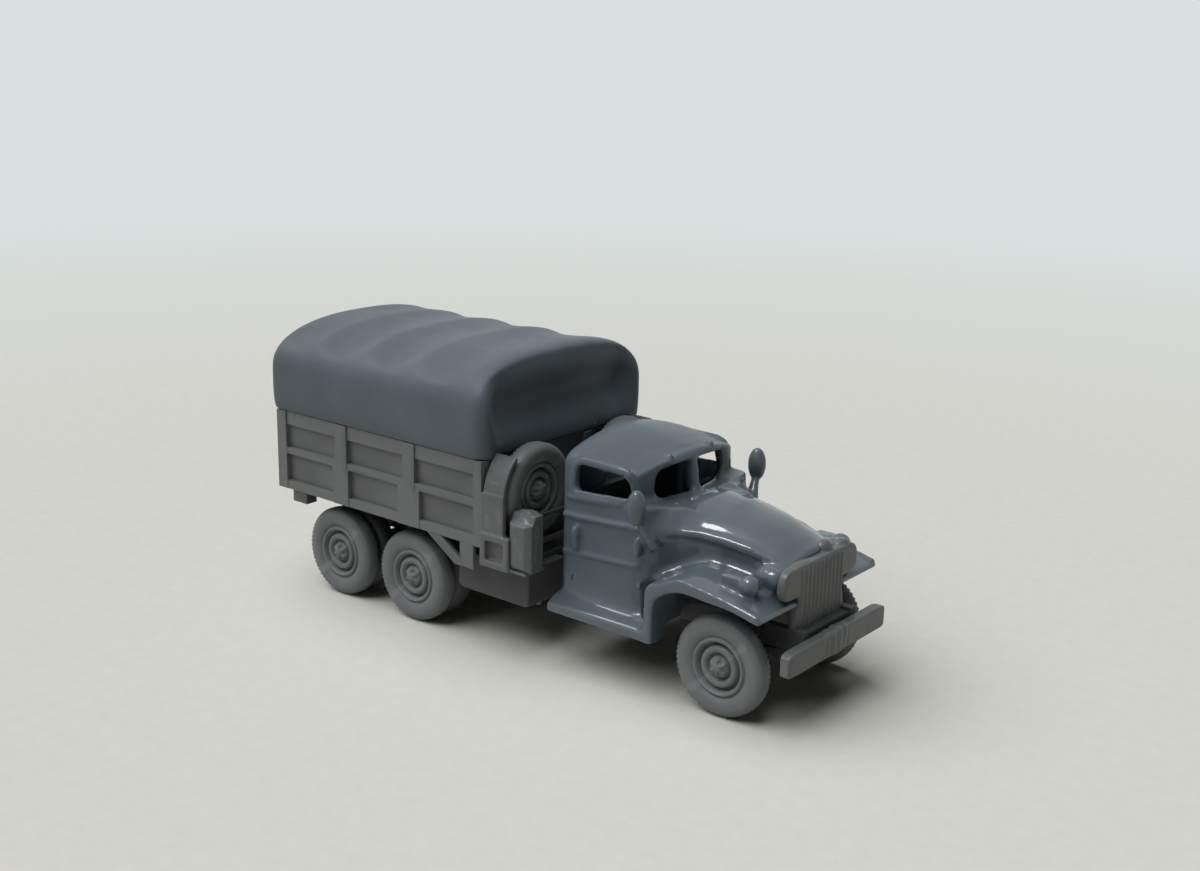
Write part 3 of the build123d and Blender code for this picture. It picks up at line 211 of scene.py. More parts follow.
def edged(name, soup, width, segments=3):
    """A crisp piece: its flats whole and its edges rounded over."""
    obj = new_object(name, soup)
    bm = bmesh.new()
    bm.from_mesh(obj.data)
    bmesh.ops.remove_doubles(bm, verts=bm.verts, dist=0.002)
    bmesh.ops.dissolve_limit(bm, angle_limit=math.radians(2), verts=bm.verts, edges=bm.edges)
    bm.to_mesh(obj.data)
    bm.free()
    modify(obj, "BEVEL", width=width, segments=segments, limit_method="ANGLE", angle_limit=math.radians(30),
           use_clamp_overlap=True)
    modify(obj, "WEIGHTED_NORMAL", keep_sharp=False, weight=80)
    shade_smooth(obj)
    evaluated(obj)
    return obj


def thinned(obj, hidden, ratio):
    """Drops detail where hidden is true and nowhere else."""
    group = obj.vertex_groups.new(name="hidden")
    group.add(np.flatnonzero(hidden).tolist(), 1.0, "REPLACE")
    modify(obj, "DECIMATE", ratio=ratio, vertex_group="hidden")
    evaluated(obj)
    obj.vertex_groups.clear()


def finish_piece(obj, body, material, slot, *nodes):
    """Puts a piece in metres, smooths its shading, paints it and hangs it on its body."""
    obj.data.transform(Matrix.Scale(MM, 4))
    shade_smooth(obj)
    obj.data.materials.clear()
    obj.data.materials.append(material)
    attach(obj, body)
    if nodes:
        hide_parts(*nodes)


def smoothstep(low, high, x):
    """From 0 at low to 1 at high, eased at both ends; low may be the larger."""
    t = np.clip((x - low) / (high - low), 0.0, 1.0)
    return t * t * (3 - 2 * t)


def bell(x, middle, width):
    """1 at the middle, falling off to both sides."""
    return np.exp(-((x - middle) / width) ** 2)


def eased(x, places, values):
    """Values between places, with the bends rounded off."""
    return float(np.mean([np.interp(x + shift, places, values) for shift in np.linspace(-1.0, 1.0, 9)]))


def bent(corners, steps=8):
    """Points along a closed line whose corners (across, up, radius) are rounded."""
    points = []
    for i, (across, up, r) in enumerate(corners):
        here = Vector((across, up))
        before = Vector(corners[i - 1][:2])
        after = Vector(corners[(i + 1) % len(corners)][:2])
        a = here + (before - here).normalized() * r
        b = here + (after - here).normalized() * r
        for k in range(steps + 1):
            t = k / steps
            points.append(a * (1 - t) ** 2 + here * (2 * t * (1 - t)) + b * t * t)
    return points


# ---------------------------------------------------------------- materials
# a wet coat's share on the cab's sides, and the places in metres between which it gets its full
# strength: forward over the cowl, and down towards the running boards
CAB_COAT_SHARE = 0.12
COWL_X, NOSE_X = 0.0135, 0.0165
SILL_Z, BOARD_Z = 0.0095, 0.0075
# places in metres between which painted shade darkens a piece: inboard of the outer tyres, behind the tanks
OUTER_TYRE_Y, INNER_TYRE_Y = 0.0088, 0.0082
TANK_X, BOGIE_X = -0.006, -0.007
DUST = (0.42, 0.45, 0.46, 1.0)
GRAIN_HEIGHT, SWELL_HEIGHT, SWELL = 0.00005, 0.0002, 0.06


class Graph:
    """The node tree of a material or world, with short ways to add what is used here."""

    def __init__(self, owner, empty=True):
        owner.use_nodes = True
        self.nodes = owner.node_tree.nodes
        self.link = owner.node_tree.links.new
        if empty:
            self.nodes.clear()

    def feed(self, node, inputs):
        """Gives inputs their constants, or links them to other nodes' outputs."""
        for key, value in inputs.items():
            if isinstance(value, bpy.types.NodeSocket):
                self.link(value, node.inputs[key])
            else:
                node.inputs[key].default_value = value

    def add(self, kind, inputs=None, **settings):
        node = self.nodes.new(kind)
        for key, value in settings.items():
            setattr(node, key, value)
        self.feed(node, inputs or {})
        return node

    def math(self, operation, *values):
        node = self.add("ShaderNodeMath", dict(enumerate(values)), operation=operation)
        return node.outputs["Value"]

    def noise(self, place, scale, detail, roughness=0.5):
        inputs = {"Scale": scale, "Detail": detail, "Roughness": roughness, "Vector": place}
        return self.add("ShaderNodeTexNoise", inputs).outputs["Fac"]

    def spread(self, value, low_in, high_in, low, high, kind="LINEAR"):
        """A value's range between two limits, laid out between two others."""
        inputs = {"From Min": low_in, "From Max": high_in, "To Min": low, "To Max": high, "Value": value}
        node = self.add("ShaderNodeMapRange", inputs, interpolation_type=kind)
        return node.outputs["Result"]

    def mix(self, factor, a, b):
        """One colour going over into another."""
        node = self.add("ShaderNodeMix", {"Factor": factor, "A": a, "B": b}, data_type="RGBA")
        return node.outputs["Result"]


def resin(name, base, rough, rough_spread=0.06, coat=0.0, coat_rough=0.3, grain=0.3, specks=0.0,
          edge_highlight_and_shade=0.45, specular=0.25, wet=False, painted_inner_shade=False):
    """Cast resin: faint clouding, fine grain, paler edges that are part rubbed wear and part painted
    highlight, painted shade in the hollows, and a few pale dust specks.

    A wet one keeps its coat on the nose and near the floor, and loses most of it on the cab's sides.
    With painted inner shade on, the inner tyres under the bed are painted darker, as the shade that falls
    there.
    """
    mat = bpy.data.materials.new(name)
    graph = Graph(mat)
    place = graph.add("ShaderNodeTexCoord").outputs["Object"]
    along = graph.add("ShaderNodeSeparateXYZ", {"Vector": place}).outputs
    pointed = graph.add("ShaderNodeNewGeometry").outputs["Pointiness"]

    def tone(factor, lift=0.0):
        return tuple(c * factor + lift for c in base) + (1.0,)

    cloud = graph.spread(graph.noise(place, 140.0, 3.0, 0.6), 0.3, 0.7, 0.0, 1.0)
    colour = graph.mix(cloud, tone(0.9), tone(1.1))
    # paler edges: partly rubbed wear, partly a painted highlight where edges catch the light
    edge = graph.spread(pointed, 0.52, 0.62, 0.0, edge_highlight_and_shade)
    colour = graph.mix(edge, colour, tone(1.5, 0.01))
    # painted shade: darker in hollows and creases, where shadow falls
    hollow_shade = graph.spread(pointed, 0.48, 0.40, 0.0, edge_highlight_and_shade * 1.5)
    colour = graph.mix(hollow_shade, colour, tone(0.5))
    if specks:
        dust = graph.spread(graph.noise(place, 1100.0, 1.0), 0.80, 0.83, 0.0, specks)
        colour = graph.mix(dust, colour, DUST)
    # painted shade: the inner tyres under the bed are darkened, as if out of the light
    if painted_inner_shade:
        inboard = graph.spread(graph.math("ABSOLUTE", along["Y"]), OUTER_TYRE_Y, INNER_TYRE_Y, 0.0, 1.0)
        behind = graph.spread(along["X"], TANK_X, BOGIE_X, 0.0, 1.0)
        colour = graph.mix(graph.math("MULTIPLY", inboard, behind), colour, tone(0.5))
    coat_weight = coat
    if wet:
        nose = graph.spread(along["X"], COWL_X, NOSE_X, coat * CAB_COAT_SHARE, coat)
        low = graph.spread(along["Z"], SILL_Z, BOARD_Z, 0.0, coat)
        coat_weight = graph.math("MAXIMUM", nose, low)
    smear = graph.spread(graph.noise(place, 260.0, 4.0, 0.65), 0.3, 0.7, rough - rough_spread,
                         rough + rough_spread)
    fine = graph.add("ShaderNodeBump", {
        "Strength": grain, "Distance": GRAIN_HEIGHT, "Height": graph.noise(place, 5200.0, 3.0, 0.6),
    })
    broad = graph.add("ShaderNodeBump", {
        "Strength": SWELL, "Distance": SWELL_HEIGHT, "Height": graph.noise(place, 420.0, 2.0),
        "Normal": fine.outputs["Normal"],
    })
    bsdf = graph.add("ShaderNodeBsdfPrincipled", {
        "Base Color": colour, "Roughness": smear, "Normal": broad.outputs["Normal"], "IOR": 1.5,
        "Specular IOR Level": specular, "Coat Weight": coat_weight, "Coat Roughness": coat_rough,
    })
    graph.add("ShaderNodeOutputMaterial", {"Surface": bsdf.outputs["BSDF"]})
    return mat


SATIN = resin("resin_satin", (0.130, 0.135, 0.134), rough=0.4, rough_spread=0.07, coat=0.1, coat_rough=0.25,
              specks=0.2)
GLOSS = resin("resin_gloss", (0.098, 0.122, 0.140), rough=0.38, coat=0.75, coat_rough=0.06, grain=0.1,
              edge_highlight_and_shade=0.06, specular=0.2, wet=True)
CLOTH = resin("resin_canopy", (0.112, 0.130, 0.147), rough=0.5, rough_spread=0.05, grain=0.4, specks=0.55,
              edge_highlight_and_shade=0.2, specular=0.2)
# the tyres carry painted shade on their inner twins, under the bed
TYRE = resin("resin_tyre", (0.175, 0.185, 0.186), rough=0.5, grain=0.4, specks=0.1, painted_inner_shade=True)
# a darker copy of the resin for the parts underneath: painted shade, where shadow falls
UNDER_PAINTED_SHADE = resin("resin_under_painted_shade", (0.066, 0.069, 0.069), rough=0.5)


# ---------------------------------------------------------------- canopy
BED_TOP = 18.95
CANOPY_REAR, CANOPY_FRONT, CANOPY_HALF, CANOPY_TOP = -31.1, -0.75, 12.3, 28.2
BOWS = (-25.0, -18.0, -11.0, -3.7)
REAR_CORNER, REAR_EDGE, FRONT_CORNER, FRONT_EDGE = 0.9, 1.1, 1.5, 2.2
# where the arch springs at the rear, how far that falls to the front, and how square the arch is there
EAVE_Z, EAVE_FALL, ARCH_POWER, POWER_GAIN = 23.3, 0.5, 2.42, 0.4
# the skirt: how far it is set in, and how high over the bed's top
SKIRT = ((0.3, 0.0), (0.17, 0.45), (0.06, 1.0), (0.0, 1.9))
CANOPY_END, END_STEPS, ARCH_STEPS = 2.4, 20, 64
SAG, SIDE_SAG, DIMPLE = 0.27, 0.05, 0.36
REAR_HEM, REAR_SAG_SHARE = 0.6, 0.45
FRONT_HOLLOW, FRONT_INSET, REAR_HOLLOW = 1.8, 0.3, 0.5


def drawn_in(distance, radius):
    """How far a rounded edge of this radius has drawn in, at a distance from its end."""
    if distance >= radius:
        return 0.0
    return radius - math.sqrt(max(radius ** 2 - (radius - distance) ** 2, 0.0))


def canopy_rings():
    """Sections from rear to front, each from the right skirt over the arch to the left one."""
    ends = [CANOPY_END * (1 - math.cos(math.pi / 2 * i / END_STEPS)) for i in range(END_STEPS + 1)]
    stations = [CANOPY_REAR + e for e in ends]
    stations += list(np.linspace(CANOPY_REAR + 2.6, CANOPY_FRONT - 2.6, 70))
    stations += [CANOPY_FRONT - e for e in reversed(ends)]
    rings = []
    for x in stations:
        t = (x - CANOPY_REAR) / (CANOPY_FRONT - CANOPY_REAR)
        to_rear = x - CANOPY_REAR
        to_front = CANOPY_FRONT - x
        half = CANOPY_HALF - drawn_in(to_rear, REAR_CORNER) - drawn_in(to_front, FRONT_CORNER)
        top = CANOPY_TOP - drawn_in(to_rear, REAR_EDGE) - drawn_in(to_front, FRONT_EDGE)
        base = EAVE_Z - EAVE_FALL * t
        power = ARCH_POWER + POWER_GAIN * t
        arch = []
        for j in range(ARCH_STEPS + 1):
            a = math.pi * j / ARCH_STEPS
            c, s = math.cos(a), math.sin(a)
            y = half * math.copysign(abs(c) ** (2 / power), c)
            z = base + (top - base) * abs(s) ** (2 / power)
            arch.append((x, y, z))
        right = [(x, -half + set_in, BED_TOP + rise) for set_in, rise in SKIRT]
        left = [(x, half - set_in, BED_TOP + rise) for set_in, rise in reversed(SKIRT)]
        rings.append(right + list(reversed(arch)) + left)
    return rings


def canopy_sag(x):
    """How much of its sag the cloth has along the bed: none at a bow, all of it halfway to the next."""
    sag = np.zeros(len(x))
    first = CANOPY_REAR + REAR_HEM
    for a, b in zip((first,) + BOWS, BOWS):
        inside = (x > a) & (x < b)
        share = REAR_SAG_SHARE if a == first else 1.0
        sag[inside] += np.sin(np.pi * (x[inside] - a) / (b - a)) ** 1.25 * share
    return sag


def canopy():
    """One closed sheet over the bows, soft at every corner, its front drawn in."""
    obj = skin("canopy_cloth", Soup().rings(canopy_rings()), voxel=0.2, smooth=6)
    co = coords(obj)
    x, y, z = co[:, 0], co[:, 1], co[:, 2]
    out = np.abs(y)
    top = smoothstep(25.3, 27.0, z)
    sag = canopy_sag(x)
    co[:, 2] -= top * SAG * sag
    dimple = bell(out, 9.8, 1.8) * smoothstep(24.5, 26.5, z)
    co[:, 2] -= DIMPLE * dimple * sag
    side = smoothstep(11.0, 12.2, out) * smoothstep(19.4, 21.0, z) * (1 - smoothstep(24.6, 26.0, z))
    co[:, 1] -= np.sign(y) * side * (SIDE_SAG * sag)
    front = smoothstep(CANOPY_FRONT - 1.2, CANOPY_FRONT - 0.2, x) * smoothstep(11.3, 8.6, out)
    co[:, 0] -= front * (FRONT_HOLLOW * bell(z, 23.6, 2.4) + FRONT_INSET)
    back = smoothstep(CANOPY_REAR + 0.9, CANOPY_REAR + 0.1, x) * smoothstep(11.6, 8.0, out)
    co[:, 0] += back * REAR_HOLLOW * bell(z, 22.8, 2.6)
    set_coords(obj, co)
    modify(obj, "SMOOTH", factor=0.5, iterations=9)
    evaluated(obj)
    finish_piece(obj, "truck", CLOTH, "resin_satin", "canopy")


# ---------------------------------------------------------------- wheels
WHEEL_R = 4.65
LUGS, LUG_DEPTH = 58, 0.16
BOLTS, BOLT_RISE, BOLT_DIP = 6, 0.2, -0.3
RIM_FACE, TWIN_SPACING = 0.76, 2.35
SPARE_X, SPARE_Y, SPARE_CENTRE_Z, SPARE_SCALE = 0.85, 6.8, 15.7, 0.97
# the rim's face from the hub's middle outward: rise from the face, radius, share of the bolts' rise
HUB_ROWS = (
    (0.34, 0.0, 0), (0.34, 0.22, 0), (0.3, 0.34, 0), (0.14, 0.46, 0.5), (0.06, 0.6, 1.0), (0.04, 0.74, 1.0),
    (-0.04, 0.86, 0.6), (-0.16, 0.95, 0.2), (-0.42, 1.02, 0), (-0.5, 1.12, 0), (-0.42, 1.22, 0),
    (-0.12, 1.32, 0), (-0.02, 1.46, 0), (0.0, 1.62, 0), (-0.03, 1.76, 0), (-0.14, 1.87, 0), (-0.5, 1.97, 0),
    (-0.62, 2.08, 0), (-0.5, 2.2, 0), (-0.06, 2.3, 0), (0.08, 2.4, 0), (0.13, 2.5, 0), (0.1, 2.6, 0),
    (-0.06, 2.68, 0), (-0.12, 2.76, 0), (0.0, 2.86, 0), (0.1, 3.0, 0),
)
# half a tyre, from its bead to its tread: distance from the tyre's middle, radius, share of a lug's depth
TYRE_ROWS = (
    (0.98, 3.2, 0), (1.04, 3.5, 0), (1.05, 3.8, 0), (1.01, 4.05, 0.2), (0.93, 4.28, 1.0), (0.8, 4.46, 1.0),
    (0.64, 4.575, 1.0), (0.45, 4.63, 1.0), (0.28, 4.648, 0.8), (0.18, 4.65, 0.1), (0.1, 4.6, 0.0),
)
TREAD_MIDDLE_R, TWIN_GAP_R = 4.64, 3.1
# the back of the rim and the bore for the stub: rise from the rim's back, radius
BACK_ROWS = (
    (-0.06, 2.95), (0.02, 2.8), (-0.05, 2.68), (0.1, 2.5), (0.45, 2.2), (0.5, 1.2), (0.05, 1.05), (0.0, 0.9),
    (0.0, 0.62), (0.3, 0.6), (1.25, 0.6), (1.26, 0.0),
)


def wheel_profile(centres):
    """Rows (y, r, lug share, bolt share) from the hub's middle out and round to the back."""
    rows = [(centres[0] + RIM_FACE + rise, r, 0, bolt) for rise, r, bolt in HUB_ROWS]
    for index, c in enumerate(centres):
        if index:
            rows.append((c + TWIN_SPACING / 2, TWIN_GAP_R, 0, 0))
        rows += [(c + y, r, lug, 0) for y, r, lug in TYRE_ROWS]
        rows.append((c, TREAD_MIDDLE_R, 0, 0))
        rows += [(c - y, r, -lug, 0) for y, r, lug in reversed(TYRE_ROWS)]
    return rows + [(centres[-1] - RIM_FACE + rise, r, 0, 0) for rise, r in BACK_ROWS]


def wheel(name, centre, centres, out, scale=1.0):
    """A wheel whose face looks along out, with the tread's fine lugs and the hub's bolts."""
    out = Vector(out)
    up = Vector((0, 0, 1))
    ahead = up.cross(out)
    sides = LUGS * 2
    verts = []
    rows = wheel_profile(centres)
    for y, r, lug, bolt in rows:
        for j in range(sides):
            a = 2 * math.pi * j / sides
            # the lugs of the tread's two halves are half a pitch apart
            low = j % 2 if lug > 0 else (j + 1) % 2
            rr = (r - (LUG_DEPTH * abs(lug) if low else 0.0)) * scale
            yy = y + bolt * BOLT_RISE * max(math.cos(BOLTS * a), BOLT_DIP)
            verts.append(Vector(centre) + out * yy + up * (rr * math.cos(a)) + ahead * (rr * math.sin(a)))
    faces = []
    for i in range(len(rows) - 1):
        for j in range(sides):
            k = (j + 1) % sides
            faces.append((i * sides + j, i * sides + k, (i + 1) * sides + k, (i + 1) * sides + j))
    obj = new_object(name, Soup().add(verts, faces))
    bm = bmesh.new()
    bm.from_mesh(obj.data)
    bmesh.ops.remove_doubles(bm, verts=bm.verts, dist=0.0005)
    bmesh.ops.recalc_face_normals(bm, faces=bm.faces)
    bm.to_mesh(obj.data)
    bm.free()
    return obj


def wheels():
    """The six wheels that turn, and the two spares, which face forward and stay."""
    # name, x and y of the outermost tyre's middle, places of the tyres from it
    table = (
        ("wheel_front", 23.8, 7.7, (0.0,)),
        ("wheel_middle", -11.9, 9.8, (0.0, -TWIN_SPACING)),
        ("wheel_rear", -22.7, 9.8, (0.0, -TWIN_SPACING)),
    )
    for base, x, y, centres in table:
        for side, sign in SIDES:
            obj = wheel(f"{base}_{side}_dressed", (x, sign * y, WHEEL_R), centres, (0, sign, 0))
            finish_piece(obj, f"{base}_{side}", TYRE, "resin_satin", f"{base}_{side}")
    for side, sign in SIDES:
        centre = (SPARE_X, sign * SPARE_Y, SPARE_CENTRE_Z)
        obj = wheel(f"spare_{side}_dressed", centre, (0.0,), (1, 0, 0), SPARE_SCALE)
        finish_piece(obj, "truck", TYRE, "resin_satin", f"spare_{side}")


# ---------------------------------------------------------------- cab, hood and fenders
# the cab side's distance from the middle over the belt line (z, y), and how far its pillar bends in (x, y)
SIDE_RISE = ((16.6, 8.42), (17.8, 8.32), (18.9, 8.18), (19.6, 8.02), (20.15, 7.66), (20.55, 7.0), (20.8, 6.3))
PILLAR_BEND = ((11.75, 0.0), (12.95, 0.35), (13.65, 1.1), (13.95, 2.2))
SIDE_STEP, BELT_Z = 0.1, 16.6
WINDOW = ((6.85, 16.85, 0.8), (13.75, 17.15, 0.9), (13.1, 19.9, 1.2), (6.8, 20.05, 1.3))
BAND_R, BAND_FLAT, BAND_INSET_LEFT = 0.47, 0.55, 0.3
LEDGE = ((6.5, 16.55), (10.0, 16.75), (12.6, 16.9), (13.3, 16.95))
# centre and radii of each small lump on the right side
SIDE_LUMPS = (
    ((7.65, -8.65, 13.3), (0.55, 0.5, 0.75)),  # door handle, above
    ((7.68, -8.6, 12.5), (0.42, 0.45, 1.0)),  # and below
    ((14.85, -8.62, 13.55), (0.42, 0.5, 1.05)),  # hinge
    ((15.25, -9.55, 17.52), (0.92, 0.82, 1.68)),  # mirror
    ((13.95, -3.15, 20.55), (0.5, 0.3, 0.42)),  # clearance lamp on the roof's brow
    ((15.0, -8.5, 9.8), (0.26, 0.2, 0.26)),  # bubble where the fender meets the door
)
MIRROR_STALK = ((15.3, -9.45, 16.7), (15.4, -9.1, 16.0), (15.55, -8.65, 15.25), (15.7, -8.15, 14.5),
                (15.8, -7.5, 13.7))
CREASE = ((16.3, -6.85, 14.75), (17.3, -5.85, 14.85), (19.2, -5.0, 14.85), (21.5, -4.6, 14.7),
          (23.8, -4.25, 14.35), (26.0, -3.95, 13.75), (27.2, -3.8, 13.4))
# the fender's rolled lip: x and z
LIP_Y = -9.62
LIP = ((17.0, 6.2), (17.05, 8.7), (17.45, 9.9), (18.4, 10.75), (20.0, 11.3), (22.0, 11.5), (24.3, 11.38),
       (26.8, 10.95), (28.5, 10.55))
HEADLAMP = ((25.0, -5.2, 12.4), (25.8, -5.25, 12.65), (26.7, -5.3, 12.8), (27.5, -5.3, 12.8),
            (27.9, -5.3, 12.75))
# the cowl's swept corner down to the hood's side: x, outer y, bottom z, edge z, inner y, its z, and the
# z at the middle
COWL = (
    (15.2, 8.1, 10.5, 15.5, 6.0, 16.9, 17.0),
    (16.2, 7.4, 10.5, 15.1, 5.7, 16.7, 17.1),
    (17.4, 6.2, 10.8, 15.1, 5.2, 16.0, 16.9),
    (19.2, 5.25, 11.2, 14.95, 4.7, 15.4, 15.9),
    (21.5, 4.75, 11.4, 14.8, 4.4, 15.1, 15.3),
)
COWL_MIDDLE_Y = -4.0
# the screen's middle pillar, a fin that widens downward: x, z, half length, half width
PILLAR = ((14.6, 16.9, 0.85, 0.5), (14.25, 18.2, 0.8, 0.5), (14.2, 19.9, 0.4, 0.4))
# the roof's ends, half width and thickness; its crown's line (x, z)
ROOF_REAR, ROOF_FRONT, ROOF_HALF, ROOF_THICK = 5.75, 13.3, 7.6, 0.4
ROOF_CROWN = ((3.0, 21.7), (6.1, 21.93), (8.0, 21.97), (11.0, 21.47), (13.7, 20.87), (17.1, 20.27))
# the hood's sections: x, half width, the shoulders' z, the crown's z
HOOD = (
    (16.1, 6.3, 14.9, 17.35), (17.75, 5.5, 15.05, 17.55), (20.23, 4.95, 15.0, 17.3),
    (23.77, 4.45, 14.5, 16.35), (26.72, 4.1, 13.8, 15.03), (27.9, 3.8, 13.3, 14.13),
)
# the screen's panes: inner edge, width, middle height and half height
PANE_Y, PANE_WIDTH, PANE_Z, PANE_HALF = 2.7, 2.4, 18.35, 1.25
VENT_BUMPS = (((15.95, -1.6, 17.15), (0.5, 0.9, 0.2)), ((16.1, 1.1, 17.15), (0.45, 0.8, 0.2)))


def side_y(x, z):
    """The cab side's distance from the middle at a place: it rounds in at the roof and the pillar."""
    rise = np.interp(z, *zip(*SIDE_RISE))
    bend = np.interp(x, *zip(*PILLAR_BEND)) if z > BELT_Z else 0.0
    return float(rise - bend)


def side_normal(x, z):
    """The way out of the right side at a place."""
    along = (side_y(x + SIDE_STEP, z) - side_y(x - SIDE_STEP, z)) / (2 * SIDE_STEP)
    rise = (side_y(x, z + SIDE_STEP) - side_y(x, z - SIDE_STEP)) / (2 * SIDE_STEP)
    return (-along, -1.0, -rise)


def side_details(band_inset):
    """What stands on the right of the cab and nose; the window's band lies this much deeper."""
    s = Soup()
    # raised band round the door's window, and the ledge below it
    line = bent(WINDOW)
    s.tube([(p.x, band_inset - side_y(p.x, p.y), p.y) for p in line], BAND_R, closed=True, flat=BAND_FLAT,
           across=[side_normal(p.x, p.y) for p in line])
    s.tube([(x, 0.04 - side_y(x, z), z) for x, z in LEDGE], 0.36)
    # mouldings, rising forward
    for z, r in ((14.72, 0.26), (11.18, 0.2)):
        s.tube([(5.95, -8.42, z), (8.0, -8.5, z + 0.1), (13.2, -8.5, z + 0.4), (14.7, -8.36, z + 0.46)], r)
    for centre, radii in SIDE_LUMPS:
        s.egg(centre, radii)
    # the mirror's stalk spreads into the cowl; the crease runs along the hood's shoulder
    s.tube(MIRROR_STALK, (0.42, 0.45, 0.55, 0.75, 0.9), flat=0.75)
    s.tube(CREASE, (0.35, 0.45, 0.5, 0.5, 0.5, 0.42, 0.3))
    s.tube([(x, LIP_Y, z) for x, z in LIP], 0.4)
    # the marker lamp's ball and box on the fender
    s.egg((26.05, -7.6, 12.5), (0.98, 0.9, 0.92))
    s.block(23.4, 25.3, -8.15, -6.55, 11.4, 13.15)
    return s


def roof_cap():
    """The roof's smooth top, over the solid's flats."""
    rings = []
    for y in np.linspace(-7.2, 7.2, 61):
        r = abs(y) / ROOF_HALF
        drop = 1.42 * r ** 1.6 + 0.23 * r ** 10
        front = ROOF_FRONT - 0.9 * smoothstep(5.0, ROOF_HALF, abs(y))
        top = []
        for x in np.linspace(ROOF_REAR, front, 32):
            crown = eased(x, *zip(*ROOF_CROWN))
            top.append((x, y, crown - drop * np.interp(x, (8.0, 17.1), (1.0, 0.75))))
        rings.append(top + [(x, y, z - ROOF_THICK) for x, _, z in reversed(top)])
    return Soup().rings(rings)


def hood_cap():
    """The hood's smooth top, over the solid's flats: an arc over two shoulders at each place."""
    places, halves, shoulders, crowns = zip(*HOOD)
    rings = []
    for x in np.linspace(16.3, 27.85, 48):
        half = eased(x, places, halves)
        shoulder = eased(x, places, shoulders)
        rise = eased(x, places, crowns) - shoulder
        radius = (half * half + rise * rise) / (2 * rise)
        top = [(x, y, shoulder + rise - radius + math.sqrt(radius * radius - y * y))
               for y in np.linspace(-half, half, 41)]
        rings.append(top + [(x, half - 0.4, shoulder - 1.2), (x, 0.4 - half, shoulder - 1.2)])
    return Soup().rings(rings)


def front_base():
    """The cab, hood and fenders in one skin, its corners filled, the fenders' tops falling outward."""
    base = Soup().nodes("cab_roof", "cab_back", "door_left", "door_right", "cab_front", "hood", "fender_left",
                        "fender_right")
    flare = Soup().rings([
        [(x, -y, low), (x, -y, edge), (x, -y2, z2), (x, COWL_MIDDLE_Y, z3), (x, COWL_MIDDLE_Y, low)]
        for x, y, low, edge, y2, z2, z3 in COWL])
    # the head lamps, sunk between hood and guard
    flare.tube(HEADLAMP, (0.5, 0.9, 1.02, 0.9, 0.6), sides=20)
    flare.mirror()
    base.join(flare).join(roof_cap()).join(hood_cap())
    obj = skin("front_base", base, voxel=0.15, smooth=7, fillet=0.36)
    co = coords(obj)
    x, y, z = co[:, 0], co[:, 1], co[:, 2]
    on_fender = smoothstep(16.9, 18.0, x) * smoothstep(10.6, 11.4, z)
    co[:, 2] -= on_fender * 0.3 * (np.clip(np.abs(y) - 6.0, 0, 4) / 4) ** 2
    set_coords(obj, co)
    return soup_of(obj)


def front_details():
    """Both sides' details, the screen's pillar and the low bumps of the cowl's vent."""
    details = side_details(0.0).join(side_details(BAND_INSET_LEFT).mirrored())
    turn = np.linspace(0, 2 * math.pi, 17)[:-1]
    details.rings([[(x + a * math.cos(t), b * math.sin(t), z) for t in turn] for x, z, a, b in PILLAR])
    for centre, radii in VENT_BUMPS:
        details.egg(centre, radii, 8, 12)
    return details


def open_panes(co):
    """Pushes the screen's panes open to their full size, past what the skin has rounded off."""
    across = np.clip((np.abs(co[:, 1]) - PANE_Y) / PANE_WIDTH, 0, None)
    rise = (co[:, 2] - PANE_Z) / PANE_HALF
    away = np.sqrt(across ** 2 + rise ** 2) + 1e-6
    push = smoothstep(11.8, 12.6, co[:, 0]) * (1 - smoothstep(1.1, 2.2, away))
    co[:, 1] += np.sign(co[:, 1]) * push * 0.3 * across / away
    co[:, 2] += push * np.where(rise > 0, 0.35, 0.2) * rise / away


def out_of_sight(obj, co):
    """Where the cab's and the hood's skin faces inward, or lies deep under the fenders."""
    x, z, out = co[:, 0], co[:, 2], np.abs(co[:, 1])
    normals = np.empty(co.size)
    obj.data.vertices.foreach_get("normal", normals)
    normals = normals.reshape(-1, 3)
    hidden = (z < 9.5) & (out < 9.3) & (x > 17.2)
    # from x, to x, half width and middle of the cab's and of the hood's inside
    for low, high, half, middle in ((6.0, 15.3, 8.2, (10.5, 0.0, 14.5)), (16.2, 27.6, 4.6, (22.0, 0.0, 8.0))):
        from_middle = co - middle
        inward = (normals * from_middle).sum(axis=1) < -0.45 * np.linalg.norm(from_middle, axis=1)
        hidden |= inward & (x > low) & (x < high) & (out < half)
    return hidden


def front_body():
    """The cab and nose in one soft skin, with its windows open and its wheel arches clear."""
    obj = skin("cab_and_nose", front_base().join(front_details()), voxel=0.148)
    co = coords(obj)
    open_panes(co)
    set_coords(obj, co)
    thinned(obj, out_of_sight(obj, co), 0.56)
    finish_piece(obj, "truck", GLOSS, "resin_gloss", "cab_roof", "cab_back", "door_left", "door_right",
                 "cab_front", "hood", "fender_left", "fender_right", "headlamps", "marker_lamps",
                 "mirror_left", "mirror_right")


# ---------------------------------------------------------------- guard and bumper
# corners of the guard's outline on the right, from the top down: y, z, radius
GUARD_CORNERS = ((-6.15, 13.85, 1.5), (-6.2, 11.0, 1.1), (-3.5, 11.0, 0.4), (-4.35, 7.5, 0.3))
GUARD_BACK, GUARD_FACE, RIB_BACK, RIB_FACE, RIB_HALF = 27.78, 28.72, 28.3, 28.85, 0.12
# the lumps of the cap and catch behind the guard's top: centre and radii
GUARD_LUMPS = (
    ((27.35, 0.0, 13.15), (1.1, 4.6, 0.78)),
    ((27.6, 1.7, 13.95), (0.8, 0.95, 0.8)),
    ((27.9, 4.4, 13.65), (0.7, 1.05, 0.62)),
    ((28.1, -2.6, 13.7), (0.5, 2.2, 0.25)),
)
BUMPER_X, BEAM_Z, TURNS_Z = 30.3, 6.495, 6.5
